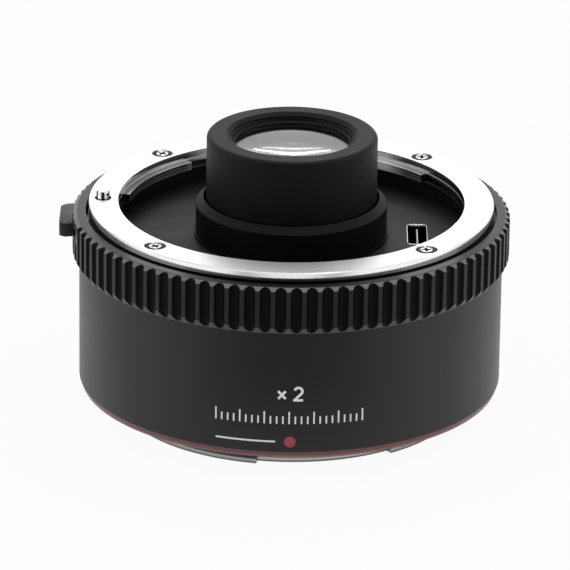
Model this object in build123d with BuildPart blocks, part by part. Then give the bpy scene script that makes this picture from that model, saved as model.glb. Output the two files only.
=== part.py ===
"""A teleconverter that goes between a camera body and an interchangeable lens.

Millimetres. The origin is the centre of the rear flange's face on the optical axis. +Z points to
the front, where the lens goes, -Y is the side that carries the red dot, and -X the release lever.
Heights are above the rear flange's face. Azimuths are in degrees about +Z, from +X.
"""
import math
import os

from build123d import *

os.makedirs("parts", exist_ok=True)

# Clearances
slide_gap = 0.1  # between turned pieces that are pushed together
bond_gap = 0.05  # between faces that are bonded or threaded together
thread_gap = 0.02  # between a screw's core and its tapped hole
cement_gap = 0.02  # between two cemented lenses
pin_gap = 0.06  # between a sliding pin and its bore
cut_over = 0.5  # how far a cut runs past the face that it starts from

# Front flange and bayonet socket
flange_to_flange = 31.7
flange_radius = 33.3
front_flange_thickness = 1.35
register_radius = 28.5
register_depth = 1.5
socket_wall = 1.0
skirt_depth = 1.8
tab_radius = 27.4
tab_height = 1.3
tab_span = 40.0
bayonet_azimuths = (58, 148, 238, 328)
flange_edge_chamfer = 0.15
mount_spring_thickness = 0.3
mount_spring_tongue_span = 28.0
mount_spring_tongue_reach = 0.7

# Rear flange and bayonet
rear_flange_thickness = 1.5
rear_lip_height = 0.4
rear_lip_reach = 0.4
register_clearance = 0.1
male_register_height = 1.4
neck_clearance = 0.4
neck_wall = 1.2
lug_clearance = 0.3
lug_axial_gap = 0.05
lug_span = 43.0
lug_root = 0.6
bayonet_length = 3.6
lock_notch_width = 2.5
lock_notch_length = 3.2

# Screws of the two mount rings
mount_screw_circle = 30.85
mount_screw_count = 4
mount_screw_azimuth = 45.0
mount_screw_head_radius = 1.72
mount_screw_core_radius = 0.85
front_mount_screw_length = 4.8
rear_mount_screw_length = 3.1
mount_screw_sink = 0.05
recess_span = 2.3
recess_width = 0.5
recess_depth = 0.55

# Outer shell, grip ring and red ring
shell_radius = 34.9
seat_radius = 34.3
grip_radius = 36.0
grip_height = 7.95
grip_drop = 1.65
grip_lip = 0.85
grip_lip_radius = 33.85
grip_top_chamfer = 0.75
grip_top_chamfer_height = 0.55
grip_bottom_chamfer = 0.75
grip_bottom_chamfer_height = 1.1
flute_count = 90
flute_depth = 0.7
flute_width = 1.85
flute_phase = -0.35
pad_radius = 35.9
pad_low_azimuth = 171.0
pad_high_azimuth = 194.0
pad_skirt = 0.6
red_ring_taper = 0.4
dot_radius = 0.93
dot_depth = 0.2
dot_height = 3.25
dot_azimuth = -89.6

# Main frame
frame_radius = 33.4
foot_thickness = 2.0
foot_bore = 22.0
frame_tube_radius = 30.8
frame_tube_wall = 1.6
web_top = 20.0
web_thickness = 2.0

# Front chassis
groove_radius = 32.9
groove_height = 0.65
ledge_thickness = 2.0
ledge_radius = 27.0
chassis_foot_bore = 28.6
chassis_screw_circle = 32.1
chassis_screw_count = 3
chassis_screw_azimuth = 90.0
chassis_screw_head_radius = 1.1
chassis_screw_head_height = 0.9
chassis_screw_core_radius = 0.75
chassis_screw_grip = 2.5

# Floor of the socket
floor_depth = 5.7
baffle_thickness = 0.8
slot_centre = 20.8
slot_width = 3.2
slot_length = 9.1
slot_corner = 0.6
slot_chamfer = 0.2
blade_thickness = 0.25
blade_length = 6.8
blade_drop = 0.4
blade_foot_length = 3.6
blade_foot_thickness = 0.6

# Lens tube and front barrel
tube_rear_radius = 14.8
tube_front_radius = 13.3
tube_bottom = 2.0
tube_flange_radius = 19.0
tube_flange_thickness = 1.6
front_bore = 10.0
rear_bore = 12.6
waist_radius = 8.8
front_seat = 22.0
rear_seat = 17.6
tube_screw_circle = 17.0
tube_screw_count = 3
tube_screw_azimuth = 30.0
tube_screw_head_radius = 1.3
tube_screw_head_height = 0.8
tube_screw_core_radius = 0.65
tube_screw_grip = 1.6
barrel_radius = 14.04
barrel_rise = 11.6
barrel_mouth_radius = 10.9
barrel_mouth_depth = 0.55
barrel_thread_radius = 10.2
barrel_edge_fillet = 0.8
tube_recess = 1.85
base_radius = 15.75
base_rise = 0.9
base_chamfer_height = 1.2
base_crown_radius = 14.4
base_groove_radius = 14.25
base_groove_depth = 0.6
base_foot_radius = 16.0
base_foot_height = 0.5
ring_gap = 0.05
front_ring_height = 0.95
front_ring_mouth_radius = 9.9
front_ring_step_radius = 9.7
front_ring_step = 0.5
front_ring_bore = 9.35
rear_ring_height = 1.5
rear_ring_bore = 11.4
rear_ring_notch = 1.2

# Lenses, from the front: edge thickness, then how far each face bulges out of its edge
lens_gap = 0.1
lens_1_edge = 2.5
lens_1_front = 1.15
lens_1_rear = -0.4
lens_2_edge = 1.6
lens_2_front = 0.6
lens_2_rear = 1.4
lens_3_edge = 4.4
lens_3_rear = -0.8
lens_4_front = -0.9
lens_4_edge = 5.2
lens_4_rear = -1.2
lens_5_front = -0.8
lens_5_edge = 3.4
lens_6_edge = 2.0
lens_6_front = 1.0
lens_6_rear = 1.2
lens_7_front = 0.9
lens_7_edge = 4.0
lens_7_rear = -0.5
spacer_wall = 1.3
front_spacer_height = 1.2
rear_spacer_height = 2.8

# Electrical contacts
contact_azimuth = -90.0
contact_circle = 24.6
contact_count = 11
contact_pitch = 5.0
contact_rise = 2.2
contact_block_width = 3.4
contact_block_span = 62.0
contact_ear_span = 5.0
contact_ear_height = 1.2
contact_stem_width = 2.6
contact_stem_span = 57.0
contact_stem_depth = 4.6
contact_screw_offset = 33.5
contact_screw_head_radius = 0.95
contact_screw_head_height = 0.5
contact_screw_core_radius = 0.5
contact_pad_margin = 0.9
contact_pad_span = 76.0
pin_tip_radius = 0.55
pin_tip_rise = 0.6
pin_shoulder_radius = 0.78
pin_shoulder_height = 0.6
pin_shoulder_drop = 2.8
pin_stem_radius = 0.28
pin_stem_length = 1.8
pin_well_radius = 0.86
pin_spring_radius = 0.6
pin_spring_wire = 0.09
pin_spring_turns = 5
rear_block_inner = 22.4
rear_block_span = 57.0
rear_block_drop = 3.2
rear_ear_span = 8.0
rear_ear_height = 1.1
rear_pad_width = 1.9
rear_pad_span = 3.2
rear_pad_thickness = 0.1

# Rear light baffle
rear_baffle_thickness = 1.0
rear_window_width = 28.0
rear_window_height = 20.0
rear_window_corner = 1.5
rear_rim_wall = 0.8
rear_rim_drop = 1.6
rear_screw_circle = 24.0
rear_screw_offset = 32.5
rear_screw_head_radius = 1.1
rear_screw_head_height = 0.6
rear_screw_core_radius = 0.6
rear_screw_grip = 1.6
rear_boss_radius = 1.5

# Circuit board and flexible circuits
board_inner = 17.5
board_span = 144.0
board_thickness = 0.8
board_post_height = 2.6
board_post_circle = 23.0
board_post_offset = 60.0
board_post_radius = 1.6
board_screw_head_radius = 1.3
board_screw_head_height = 0.7
board_screw_core_radius = 0.6
board_screw_grip = 2.0
chip_side = 5.0
chip_thickness = 0.9
chip_circle = 23.2
chip_azimuth = -128.0
connector_width = 10.0
connector_depth = 2.4
connector_height = 1.2
flex_width = 8.0
flex_thickness = 0.3
flex_slot_gap = 0.5
flex_slot_depth = 3.0

# Lens release and lock pin
release_azimuth = 180.0
release_travel = 5.5
lock_pin_circle = 31.0
lock_pin_radius = 1.1
lock_pin_rise = 1.3
lock_pin_travel = 1.5
lock_collar_radius = 1.5
lock_collar_height = 0.6
lock_collar_drop = 6.95
lock_stem_radius = 0.6
lock_stem_length = 0.9
lock_well_radius = 1.62
lock_spring_radius = 1.05
lock_spring_wire = 0.12
lock_spring_turns = 4
peg_radius = 0.45
peg_height = 26.6
peg_slot_gap = 0.12
peg_window_gap = 0.15
slider_inner = 32.5
slider_thickness = 0.7
slider_half_span = 9.5
slider_bottom = 24.0
slider_top = 28.8
slider_gap = 0.2
slider_recess_inner = 32.4
slider_end_gap = 0.5
release_spring_radius = 0.33
release_spring_wire = 0.09
release_spring_turns = 9
release_spring_height = 26.4
release_spring_span = 9.6
release_pocket_height = 1.2
stem_half_span = 4.2
stem_height = 1.2
stem_radius = 36.9
thumb_radius = 38.1
thumb_width = 8.0
thumb_height = 2.3
thumb_middle = 27.55
thumb_gap = 0.15
thumb_corner = 0.7
thumb_edge = 0.25
window_height = 1.8
window_low = 5.0
window_high = 10.5

# Places worked out from the sizes above
front_plane = flange_to_flange
front_seat_plane = front_plane - front_flange_thickness
socket_radius = register_radius + socket_wall
tab_bottom = front_plane - register_depth - tab_height
shell_bottom = rear_flange_thickness
shell_bore = frame_radius + slide_gap
grip_top = front_plane - grip_drop
grip_bottom = grip_top - grip_height
shell_top = grip_top - grip_lip
foot_top = rear_flange_thickness + foot_thickness
web_bottom = web_top - web_thickness
floor_top = front_plane - floor_depth
floor_bottom = floor_top - baffle_thickness
chassis_bore = socket_radius + slide_gap
male_register_radius = register_radius - register_clearance
neck_radius = tab_radius - neck_clearance
neck_bore = neck_radius - neck_wall
lug_radius = register_radius - lug_clearance
lug_top = -(register_depth + tab_height + lug_axial_gap)
barrel_top = front_plane + barrel_rise
base_top = front_plane + base_rise
tube_top = barrel_top - tube_recess
contact_top = floor_top + contact_rise
contact_bottom = floor_top - contact_stem_depth
board_top = web_bottom - board_post_height
board_bottom = board_top - board_thickness
rear_baffle_bottom = rear_flange_thickness - rear_baffle_thickness
rear_block_bottom = -rear_block_drop
slider_outer = slider_inner + slider_thickness
collar_top = front_seat_plane - lock_collar_drop


def polar(radius, azimuth):
    """The point at a radius and an azimuth."""
    angle = math.radians(azimuth)
    return (radius * math.cos(angle), radius * math.sin(angle))


def lathe(*outline, mode=Mode.ADD):
    """Turn an outline of (radius, height) points about the optical axis."""
    with BuildSketch(Plane.XZ) as half:
        with BuildLine():
            Polyline(*outline, close=True)
        make_face()
    revolve(half.sketch, axis=Axis.Z, mode=mode)


def tube(inner, outer, bottom, top, mode=Mode.ADD):
    """A plain ring between two radii and two heights."""
    lathe((inner, bottom), (outer, bottom), (outer, top), (inner, top), mode=mode)


def arc_block(inner, outer, middle, span, bottom, top, mode=Mode.ADD):
    """The part of a ring that spans some degrees about an azimuth."""
    low = middle - span / 2
    high = middle + span / 2
    with BuildSketch(Plane.XY.offset(bottom)) as plan:
        with BuildLine():
            CenterArc((0, 0), inner, low, span)
            Line(polar(inner, high), polar(outer, high))
            CenterArc((0, 0), outer, low, span)
            Line(polar(outer, low), polar(inner, low))
        make_face()
    extrude(plan.sketch, amount=top - bottom, mode=mode)


def drill(radius, places, bottom, top):
    """Round holes along the optical axis at a list of places."""
    with BuildSketch(Plane.XY.offset(bottom)) as holes:
        with Locations(*places):
            Circle(radius)
    extrude(holes.sketch, amount=top - bottom, mode=Mode.SUBTRACT)


def posts(radius, places, bottom, top):
    """Round posts along the optical axis at a list of places."""
    with BuildSketch(Plane.XY.offset(bottom)) as rounds:
        with Locations(*places):
            Circle(radius)
    extrude(rounds.sketch, amount=top - bottom)


def around(circle, count, first):
    """Places spread evenly round a circle."""
    return [polar(circle, first + 360 * step / count) for step in range(count)]


def cross_recess(face, way):
    """Cut a screwdriver's cross into a face; way is 1 for a face that looks up."""
    with BuildSketch(Plane.XY.offset(face)) as cross:
        Rectangle(recess_span, recess_width)
        Rectangle(recess_width, recess_span)
    extrude(cross.sketch, amount=-way * recess_depth, mode=Mode.SUBTRACT)


def sunk_form(head, core, length, way):
    """A countersunk screw's outline turned about Z, its face at height 0."""
    with BuildPart() as form:
        neck = core - head
        lathe((0, 0), (head, 0), (core, way * neck), (core, -way * length), (0, -way * length))
    return form.part


def sunk_screw(head, core, length, way):
    """A countersunk screw with a cross recess."""
    with BuildPart() as screw:
        add(sunk_form(head, core, length, way))
        cross_recess(0, way)
    return screw.part


def pan_screw(head, height, core, length, way):
    """A flat-headed screw, the underside of its head at height 0."""
    with BuildPart() as screw:
        lathe(
            (0, way * height),
            (head, way * height),
            (head, 0),
            (core, 0),
            (core, -way * length),
            (0, -way * length),
        )
        slot = core
        with BuildSketch(Plane.XY.offset(way * height)) as cut:
            Rectangle(head + core, slot / 2)
            Rectangle(slot / 2, head + core)
        extrude(cut.sketch, amount=-way * height / 2, mode=Mode.SUBTRACT)
    return screw.part


def coil(radius, wire, turns, height):
    """A compression spring's wire wound about Z, from height 0 up."""
    with BuildPart() as spring:
        with BuildLine() as path:
            Helix((height - 2 * wire) / turns, height - 2 * wire, radius, center=(0, 0, wire))
        with BuildSketch(Plane(origin=path.line @ 0, z_dir=path.line % 0)):
            Circle(wire)
        sweep(path=path.line)
    return spring.part


def face_rise(radius, bulge, at):
    """How far a lens's face stands above its edge at some radius; negative on a hollow face."""
    curve = (radius**2 + bulge**2) / (2 * abs(bulge))
    sag = curve - math.sqrt(curve**2 - at**2)
    return bulge - math.copysign(sag, bulge)


def lens(radius, top, edge, front, rear):
    """A lens by its edge and the bulge of each face, which is negative on a hollow face."""
    bottom = top - edge
    half = radius / 2
    with BuildPart() as glass:
        with BuildSketch(Plane.XZ):
            with BuildLine():
                Line((0, bottom - rear), (0, top + front))
                ThreePointArc((0, top + front), (half, top + face_rise(radius, front, half)), (radius, top))
                Line((radius, top), (radius, bottom))
                ThreePointArc(
                    (radius, bottom), (half, bottom - face_rise(radius, rear, half)), (0, bottom - rear)
                )
            make_face()
        revolve(axis=Axis.Z)
    return glass.part


def save(part, name):
    """Label a finished piece and write it."""
    part.label = name
    export_step(part, f"parts/{name}.step")


mount_screw_places = around(mount_screw_circle, mount_screw_count, mount_screw_azimuth)
chassis_screw_places = around(chassis_screw_circle, chassis_screw_count, chassis_screw_azimuth)
tube_screw_places = around(tube_screw_circle, tube_screw_count, tube_screw_azimuth)
contact_screw_places = [
    polar(contact_circle, contact_azimuth - contact_screw_offset),
    polar(contact_circle, contact_azimuth + contact_screw_offset),
]
rear_ear_places = [
    polar(rear_screw_circle, contact_azimuth - rear_screw_offset),
    polar(rear_screw_circle, contact_azimuth + rear_screw_offset),
]
rear_boss_places = [
    polar(rear_screw_circle, contact_azimuth + 180 - rear_screw_offset),
    polar(rear_screw_circle, contact_azimuth + 180 + rear_screw_offset),
]
rear_screw_places = rear_ear_places + rear_boss_places
board_post_places = [
    polar(board_post_circle, contact_azimuth - board_post_offset),
    polar(board_post_circle, contact_azimuth + board_post_offset),
]
contact_azimuths = [
    contact_azimuth + contact_pitch * (step - (contact_count - 1) / 2) for step in range(contact_count)
]
contact_places = [polar(contact_circle, azimuth) for azimuth in contact_azimuths]
lock_place = polar(lock_pin_circle, release_azimuth)
window_middle = release_azimuth + (window_high - window_low) / 2
window_span = window_low + window_high
window_bottom = thumb_middle - window_height / 2
window_top = thumb_middle + window_height / 2

# Outer shell: a plain tube with a stepped seat for the grip ring
with BuildPart() as body_shell:
    lathe(
        (shell_bore, shell_bottom),
        (shell_radius, shell_bottom),
        (shell_radius, grip_bottom),
        (seat_radius, grip_bottom),
        (seat_radius, shell_top),
        (shell_bore, shell_top),
    )
    arc_block(
        shell_bore - cut_over,
        seat_radius + cut_over,
        window_middle,
        window_span,
        window_bottom,
        shell_top + cut_over,
        mode=Mode.SUBTRACT,
    )
    dot_plane = Plane(
        origin=(*polar(shell_radius - dot_depth, dot_azimuth), dot_height),
        z_dir=(*polar(1, dot_azimuth), 0),
    )
    with BuildSketch(dot_plane):
        Circle(dot_radius + thread_gap)
    extrude(amount=dot_depth + cut_over, mode=Mode.SUBTRACT)
save(body_shell.part, "body_shell")

# Round red dot inlaid in the shell, where the mount's index is read
with BuildPart() as rear_index_dot:
    with BuildSketch(dot_plane):
        Circle(dot_radius)
    extrude(amount=dot_depth + cut_over)
    tube(shell_radius - dot_depth - cut_over, shell_radius, shell_bottom, grip_bottom, mode=Mode.INTERSECT)
save(rear_index_dot.part, "rear_index_dot")

# Grip ring: straight flutes that run out in the chamfers, with a smooth pad at the release
with BuildPart() as grip_ring:
    cutter_radius = (flute_width**2 / 4 + flute_depth**2) / (2 * flute_depth)
    with BuildSketch(Plane.XY.offset(grip_bottom)):
        Circle(grip_radius)
        with PolarLocations(grip_radius + cutter_radius - flute_depth, flute_count, start_angle=flute_phase):
            Circle(cutter_radius, mode=Mode.SUBTRACT)
    extrude(amount=grip_height)
    arc_block(
        grip_lip_radius,
        pad_radius,
        (pad_high_azimuth + pad_low_azimuth) / 2,
        pad_high_azimuth - pad_low_azimuth,
        window_bottom - pad_skirt,
        grip_top,
    )
    tube(0, seat_radius + bond_gap, grip_bottom - cut_over, shell_top, mode=Mode.SUBTRACT)
    tube(0, grip_lip_radius, shell_top - cut_over, grip_top + cut_over, mode=Mode.SUBTRACT)
    lathe(
        (grip_radius - grip_top_chamfer, grip_top),
        (grip_radius, grip_top - grip_top_chamfer_height),
        (grip_radius + cut_over, grip_top - grip_top_chamfer_height),
        (grip_radius + cut_over, grip_top + cut_over),
        (grip_radius - grip_top_chamfer, grip_top + cut_over),
        mode=Mode.SUBTRACT,
    )
    lathe(
        (grip_radius - grip_bottom_chamfer, grip_bottom),
        (grip_radius, grip_bottom + grip_bottom_chamfer_height),
        (grip_radius + cut_over, grip_bottom + grip_bottom_chamfer_height),
        (grip_radius + cut_over, grip_bottom - cut_over),
        (grip_radius - grip_bottom_chamfer, grip_bottom - cut_over),
        mode=Mode.SUBTRACT,
    )
    arc_block(
        seat_radius - cut_over,
        grip_radius + cut_over,
        window_middle,
        window_span,
        window_bottom,
        window_top,
        mode=Mode.SUBTRACT,
    )
save(grip_ring.part, "grip_ring")

# Red ring between the shell and the rear flange, tapered towards the camera
with BuildPart() as red_trim_ring:
    rear_step_radius = flange_radius - rear_lip_reach
    lathe(
        (rear_step_radius + slide_gap, rear_lip_height),
        (shell_radius - red_ring_taper, rear_lip_height),
        (shell_radius, shell_bottom),
        (rear_step_radius + slide_gap, shell_bottom),
    )
save(red_trim_ring.part, "red_trim_ring")

# Chromed bayonet socket for the lens
with BuildPart() as front_mount_ring:
    lathe(
        (register_radius, front_plane),
        (flange_radius - flange_edge_chamfer, front_plane),
        (flange_radius, front_plane - flange_edge_chamfer),
        (flange_radius, front_seat_plane),
        (socket_radius, front_seat_plane),
        (socket_radius, front_plane - skirt_depth),
        (register_radius, front_plane - skirt_depth),
    )
    for azimuth in bayonet_azimuths:
        arc_block(
            tab_radius, socket_radius, azimuth, tab_span, tab_bottom, front_plane - register_depth
        )
    with Locations(*((x, y, front_plane - mount_screw_sink) for x, y in mount_screw_places)):
        add(
            sunk_form(
                mount_screw_head_radius + slide_gap,
                mount_screw_core_radius + slide_gap,
                front_flange_thickness + cut_over,
                1,
            ),
            mode=Mode.SUBTRACT,
        )
    drill(
        mount_screw_head_radius + slide_gap,
        mount_screw_places,
        front_plane - mount_screw_sink,
        front_plane + cut_over,
    )
    drill(
        lock_pin_radius + pin_gap, [lock_place], front_seat_plane - cut_over, front_plane + cut_over
    )
save(front_mount_ring.part, "front_mount_ring")

with BuildPart() as front_mount_screws:
    front_screw = sunk_screw(
        mount_screw_head_radius, mount_screw_core_radius, front_mount_screw_length, 1
    )
    with Locations(*((x, y, front_plane - mount_screw_sink) for x, y in mount_screw_places)):
        add(front_screw)
save(front_mount_screws.part, "front_mount_screws")

# Thin spring under the tabs, whose tongues press on a lens's lugs
with BuildPart() as front_mount_spring:
    tube(register_radius + slide_gap, socket_radius, tab_bottom - mount_spring_thickness, tab_bottom)
    for azimuth in bayonet_azimuths:
        arc_block(
            register_radius - mount_spring_tongue_reach,
            register_radius + 2 * slide_gap,
            azimuth,
            mount_spring_tongue_span,
            tab_bottom - mount_spring_thickness,
            tab_bottom,
        )
save(front_mount_spring.part, "front_mount_spring")

# Chassis under the socket: carries the floor, the contacts, the lock pin and the release
with BuildPart() as front_chassis:
    lathe(
        (chassis_foot_bore, web_top),
        (frame_radius, web_top),
        (frame_radius, front_seat_plane - groove_height),
        (groove_radius, front_seat_plane - groove_height),
        (groove_radius, front_seat_plane),
        (chassis_bore, front_seat_plane),
        (chassis_bore, floor_bottom),
        (ledge_radius, floor_bottom),
        (ledge_radius, floor_bottom - ledge_thickness),
        (chassis_foot_bore, floor_bottom - ledge_thickness),
    )
    stem_inner = contact_circle - contact_stem_width / 2
    stem_outer = contact_circle + contact_stem_width / 2
    arc_block(
        stem_inner - contact_pad_margin,
        ledge_radius + slide_gap,
        contact_azimuth,
        contact_pad_span,
        floor_bottom - ledge_thickness,
        floor_bottom,
    )
    stem_gap_span = math.degrees(2 * slide_gap / contact_circle)
    arc_block(
        stem_inner - slide_gap,
        stem_outer + slide_gap,
        contact_azimuth,
        contact_stem_span + stem_gap_span,
        floor_bottom - ledge_thickness - cut_over,
        floor_bottom + cut_over,
        mode=Mode.SUBTRACT,
    )
    drill(
        contact_screw_core_radius + thread_gap,
        contact_screw_places,
        floor_bottom - ledge_thickness - cut_over,
        floor_bottom + cut_over,
    )
    front_screw_tip = front_plane - mount_screw_sink - front_mount_screw_length
    drill(
        mount_screw_core_radius + thread_gap,
        mount_screw_places,
        front_screw_tip - slide_gap,
        front_seat_plane + cut_over,
    )
    drill(
        chassis_screw_core_radius + thread_gap,
        chassis_screw_places,
        web_top - cut_over,
        web_top + chassis_screw_grip + slide_gap,
    )
    drill(lock_pin_radius + pin_gap, [lock_place], collar_top, front_seat_plane + cut_over)
    drill(lock_well_radius, [lock_place], web_top - cut_over, collar_top + slide_gap)
    recess_low = release_azimuth - slider_half_span - slider_end_gap
    recess_high = release_azimuth + slider_half_span + release_travel + slider_end_gap
    arc_block(
        slider_recess_inner,
        frame_radius + cut_over,
        (recess_low + recess_high) / 2,
        recess_high - recess_low,
        slider_bottom - slider_gap,
        slider_top + slider_gap,
        mode=Mode.SUBTRACT,
    )
    spring_low = release_azimuth + slider_half_span
    spring_high = spring_low + release_spring_span
    arc_block(
        slider_recess_inner,
        frame_radius + cut_over,
        (spring_low + spring_high) / 2,
        release_spring_span,
        release_spring_height - release_pocket_height / 2,
        release_spring_height + release_pocket_height / 2,
        mode=Mode.SUBTRACT,
    )
    peg_window_bottom = peg_height - lock_pin_travel - peg_radius - peg_window_gap
    peg_window_top = peg_height + peg_radius + peg_window_gap
    peg_window_width = 2 * (peg_radius + peg_window_gap)
    with BuildSketch(Plane.YZ.offset(-slider_recess_inner - cut_over)):
        with Locations((0, (peg_window_bottom + peg_window_top) / 2)):
            Rectangle(peg_window_width, peg_window_top - peg_window_bottom)
    extrude(amount=slider_recess_inner + cut_over - lock_pin_circle, mode=Mode.SUBTRACT)
save(front_chassis.part, "front_chassis")

with BuildPart() as chassis_screws:
    chassis_screw = pan_screw(
        chassis_screw_head_radius,
        chassis_screw_head_height,
        chassis_screw_core_radius,
        web_thickness + chassis_screw_grip,
        -1,
    )
    with Locations(*((x, y, web_bottom) for x, y in chassis_screw_places)):
        add(chassis_screw)
save(chassis_screws.part, "chassis_screws")

# Black floor of the socket, with the contact block's cut-out and the small slot
with BuildPart() as front_baffle:
    tube(tube_front_radius + slide_gap, chassis_bore - slide_gap, floor_bottom, floor_top)
    with BuildSketch(Plane.XY.offset(floor_bottom - cut_over)):
        with Locations((slot_centre, 0)):
            RectangleRounded(slot_width, slot_length, slot_corner)
    extrude(amount=baffle_thickness + 2 * cut_over, mode=Mode.SUBTRACT)
    slot_rim = (
        front_baffle.faces()
        .sort_by(Axis.Z)[-1]
        .inner_wires()
        .sort_by(lambda wire: abs(wire.center().X - slot_centre))[0]
        .edges()
    )
    chamfer(slot_rim, slot_chamfer)
    arc_block(
        stem_inner - slide_gap,
        stem_outer + slide_gap,
        contact_azimuth,
        contact_stem_span + stem_gap_span,
        floor_bottom - cut_over,
        floor_top + cut_over,
        mode=Mode.SUBTRACT,
    )
    drill(
        contact_screw_core_radius + slide_gap,
        contact_screw_places,
        floor_bottom - cut_over,
        floor_top + cut_over,
    )
save(front_baffle.part, "front_baffle")

# Thin blade that stands in the slot, on a foot riveted to the frame's web
with BuildPart() as slot_blade:
    blade_top = floor_top - blade_drop
    with BuildSketch(Plane.XZ):
        with BuildLine():
            Polyline(
                (slot_centre - blade_thickness / 2, web_top),
                (slot_centre + blade_foot_length, web_top),
                (slot_centre + blade_foot_length, web_top + blade_foot_thickness),
                (slot_centre + blade_thickness / 2, web_top + blade_foot_thickness),
                (slot_centre + blade_thickness / 2, blade_top),
                (slot_centre - blade_thickness / 2, blade_top),
                close=True,
            )
        make_face()
    extrude(amount=blade_length / 2, both=True)
save(slot_blade.part, "slot_blade")

# Main frame: rear foot, tube wall and front web in one turned piece
with BuildPart() as main_frame:
    frame_tube_bore = frame_tube_radius - frame_tube_wall
    lathe(
        (foot_bore, rear_flange_thickness),
        (frame_radius, rear_flange_thickness),
        (frame_radius, foot_top),
        (frame_tube_radius, foot_top),
        (frame_tube_radius, web_bottom),
        (frame_radius, web_bottom),
        (frame_radius, web_top),
        (tube_rear_radius + slide_gap, web_top),
        (tube_rear_radius + slide_gap, web_bottom),
        (frame_tube_bore, web_bottom),
        (frame_tube_bore, foot_top),
        (foot_bore, foot_top),
    )
    posts(board_post_radius, board_post_places, board_top, web_bottom)
    drill(
        board_screw_core_radius + thread_gap,
        board_post_places,
        board_top - cut_over,
        board_top + board_screw_grip + slide_gap,
    )
    drill(
        mount_screw_core_radius + thread_gap,
        mount_screw_places,
        rear_flange_thickness - cut_over,
        mount_screw_sink + rear_mount_screw_length + slide_gap,
    )
    drill(
        rear_screw_core_radius + thread_gap,
        rear_screw_places,
        rear_flange_thickness - cut_over,
        rear_flange_thickness + rear_screw_grip + slide_gap,
    )
    drill(
        tube_screw_core_radius + thread_gap,
        tube_screw_places,
        web_top - tube_screw_grip - slide_gap,
        web_top + cut_over,
    )
    drill(
        chassis_screw_core_radius + slide_gap,
        chassis_screw_places,
        web_bottom - cut_over,
        web_top + cut_over,
    )
    with BuildSketch(Plane.XY.offset(rear_flange_thickness - cut_over)):
        with Locations((0, -contact_circle)):
            Rectangle(flex_width + 2 * flex_slot_gap, flex_slot_depth)
    extrude(amount=web_top - rear_flange_thickness + 2 * cut_over, mode=Mode.SUBTRACT)
save(main_frame.part, "main_frame")

# Chromed bayonet that goes into the camera
with BuildPart() as rear_mount_ring:
    lathe(
        (neck_bore, -bayonet_length),
        (neck_radius, -bayonet_length),
        (neck_radius, -male_register_height),
        (male_register_radius, -male_register_height),
        (male_register_radius, 0),
        (flange_radius, 0),
        (flange_radius, rear_lip_height),
        (rear_step_radius, rear_lip_height),
        (rear_step_radius, rear_flange_thickness),
        (neck_bore, rear_flange_thickness),
    )
    for azimuth in bayonet_azimuths:
        arc_block(neck_radius - lug_root, lug_radius, azimuth, lug_span, -bayonet_length, lug_top)
    with Locations(*((x, y, mount_screw_sink) for x, y in mount_screw_places)):
        add(
            sunk_form(
                mount_screw_head_radius + slide_gap,
                mount_screw_core_radius + slide_gap,
                rear_flange_thickness + cut_over,
                -1,
            ),
            mode=Mode.SUBTRACT,
        )
    drill(mount_screw_head_radius + slide_gap, mount_screw_places, -cut_over, mount_screw_sink)
    with BuildSketch(Plane.XY.offset(-cut_over)):
        with Locations(lock_place):
            SlotOverall(lock_notch_length, lock_notch_width, rotation=90)
    extrude(amount=rear_flange_thickness + 2 * cut_over, mode=Mode.SUBTRACT)
save(rear_mount_ring.part, "rear_mount_ring")

with BuildPart() as rear_mount_screws:
    rear_screw = sunk_screw(
        mount_screw_head_radius, mount_screw_core_radius, rear_mount_screw_length, -1
    )
    with Locations(*((x, y, mount_screw_sink) for x, y in mount_screw_places)):
        add(rear_screw)
save(rear_mount_screws.part, "rear_mount_screws")

# Black plate inside the rear bayonet, with a framed window for the image
with BuildPart() as rear_baffle:
    tube(0, neck_bore - slide_gap, rear_baffle_bottom, rear_flange_thickness)
    with BuildSketch(Plane.XY.offset(-rear_rim_drop)):
        RectangleRounded(
            rear_window_width + 2 * rear_rim_wall,
            rear_window_height + 2 * rear_rim_wall,
            rear_window_corner + rear_rim_wall,
        )
    extrude(amount=rear_rim_drop + rear_flange_thickness)
    posts(rear_boss_radius, rear_boss_places, rear_baffle_bottom - rear_ear_height, rear_flange_thickness)
    with BuildSketch(Plane.XY.offset(-rear_rim_drop - cut_over)):
        RectangleRounded(rear_window_width, rear_window_height, rear_window_corner)
    extrude(amount=rear_rim_drop + rear_flange_thickness + 2 * cut_over, mode=Mode.SUBTRACT)
    with BuildSketch(Plane.XY.offset(rear_baffle_bottom - cut_over)):
        with Locations((0, -contact_circle)):
            Rectangle(flex_width + 2 * flex_slot_gap, flex_slot_depth)
    extrude(amount=rear_baffle_thickness + 2 * cut_over, mode=Mode.SUBTRACT)
    tube(
        neck_bore - slide_gap,
        neck_bore + neck_wall,
        rear_baffle_bottom - cut_over,
        rear_flange_thickness + cut_over,
        mode=Mode.SUBTRACT,
    )
    drill(
        rear_screw_core_radius + slide_gap,
        rear_screw_places,
        rear_baffle_bottom - rear_ear_height - cut_over,
        rear_flange_thickness + cut_over,
    )
save(rear_baffle.part, "rear_baffle")

# Block of fixed contacts that meets the camera's pins
with BuildPart() as rear_contact_block:
    rear_block_outer = neck_bore - slide_gap
    arc_block(
        rear_block_inner,
        rear_block_outer,
        contact_azimuth,
        rear_block_span,
        rear_block_bottom,
        rear_baffle_bottom,
    )
    arc_block(
        rear_block_inner,
        rear_block_outer,
        contact_azimuth,
        rear_block_span + 2 * rear_ear_span,
        rear_baffle_bottom - rear_ear_height,
        rear_baffle_bottom,
    )
    drill(
        rear_screw_core_radius + slide_gap,
        rear_ear_places,
        rear_baffle_bottom - rear_ear_height - cut_over,
        rear_baffle_bottom + cut_over,
    )
save(rear_contact_block.part, "rear_contact_block")

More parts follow.
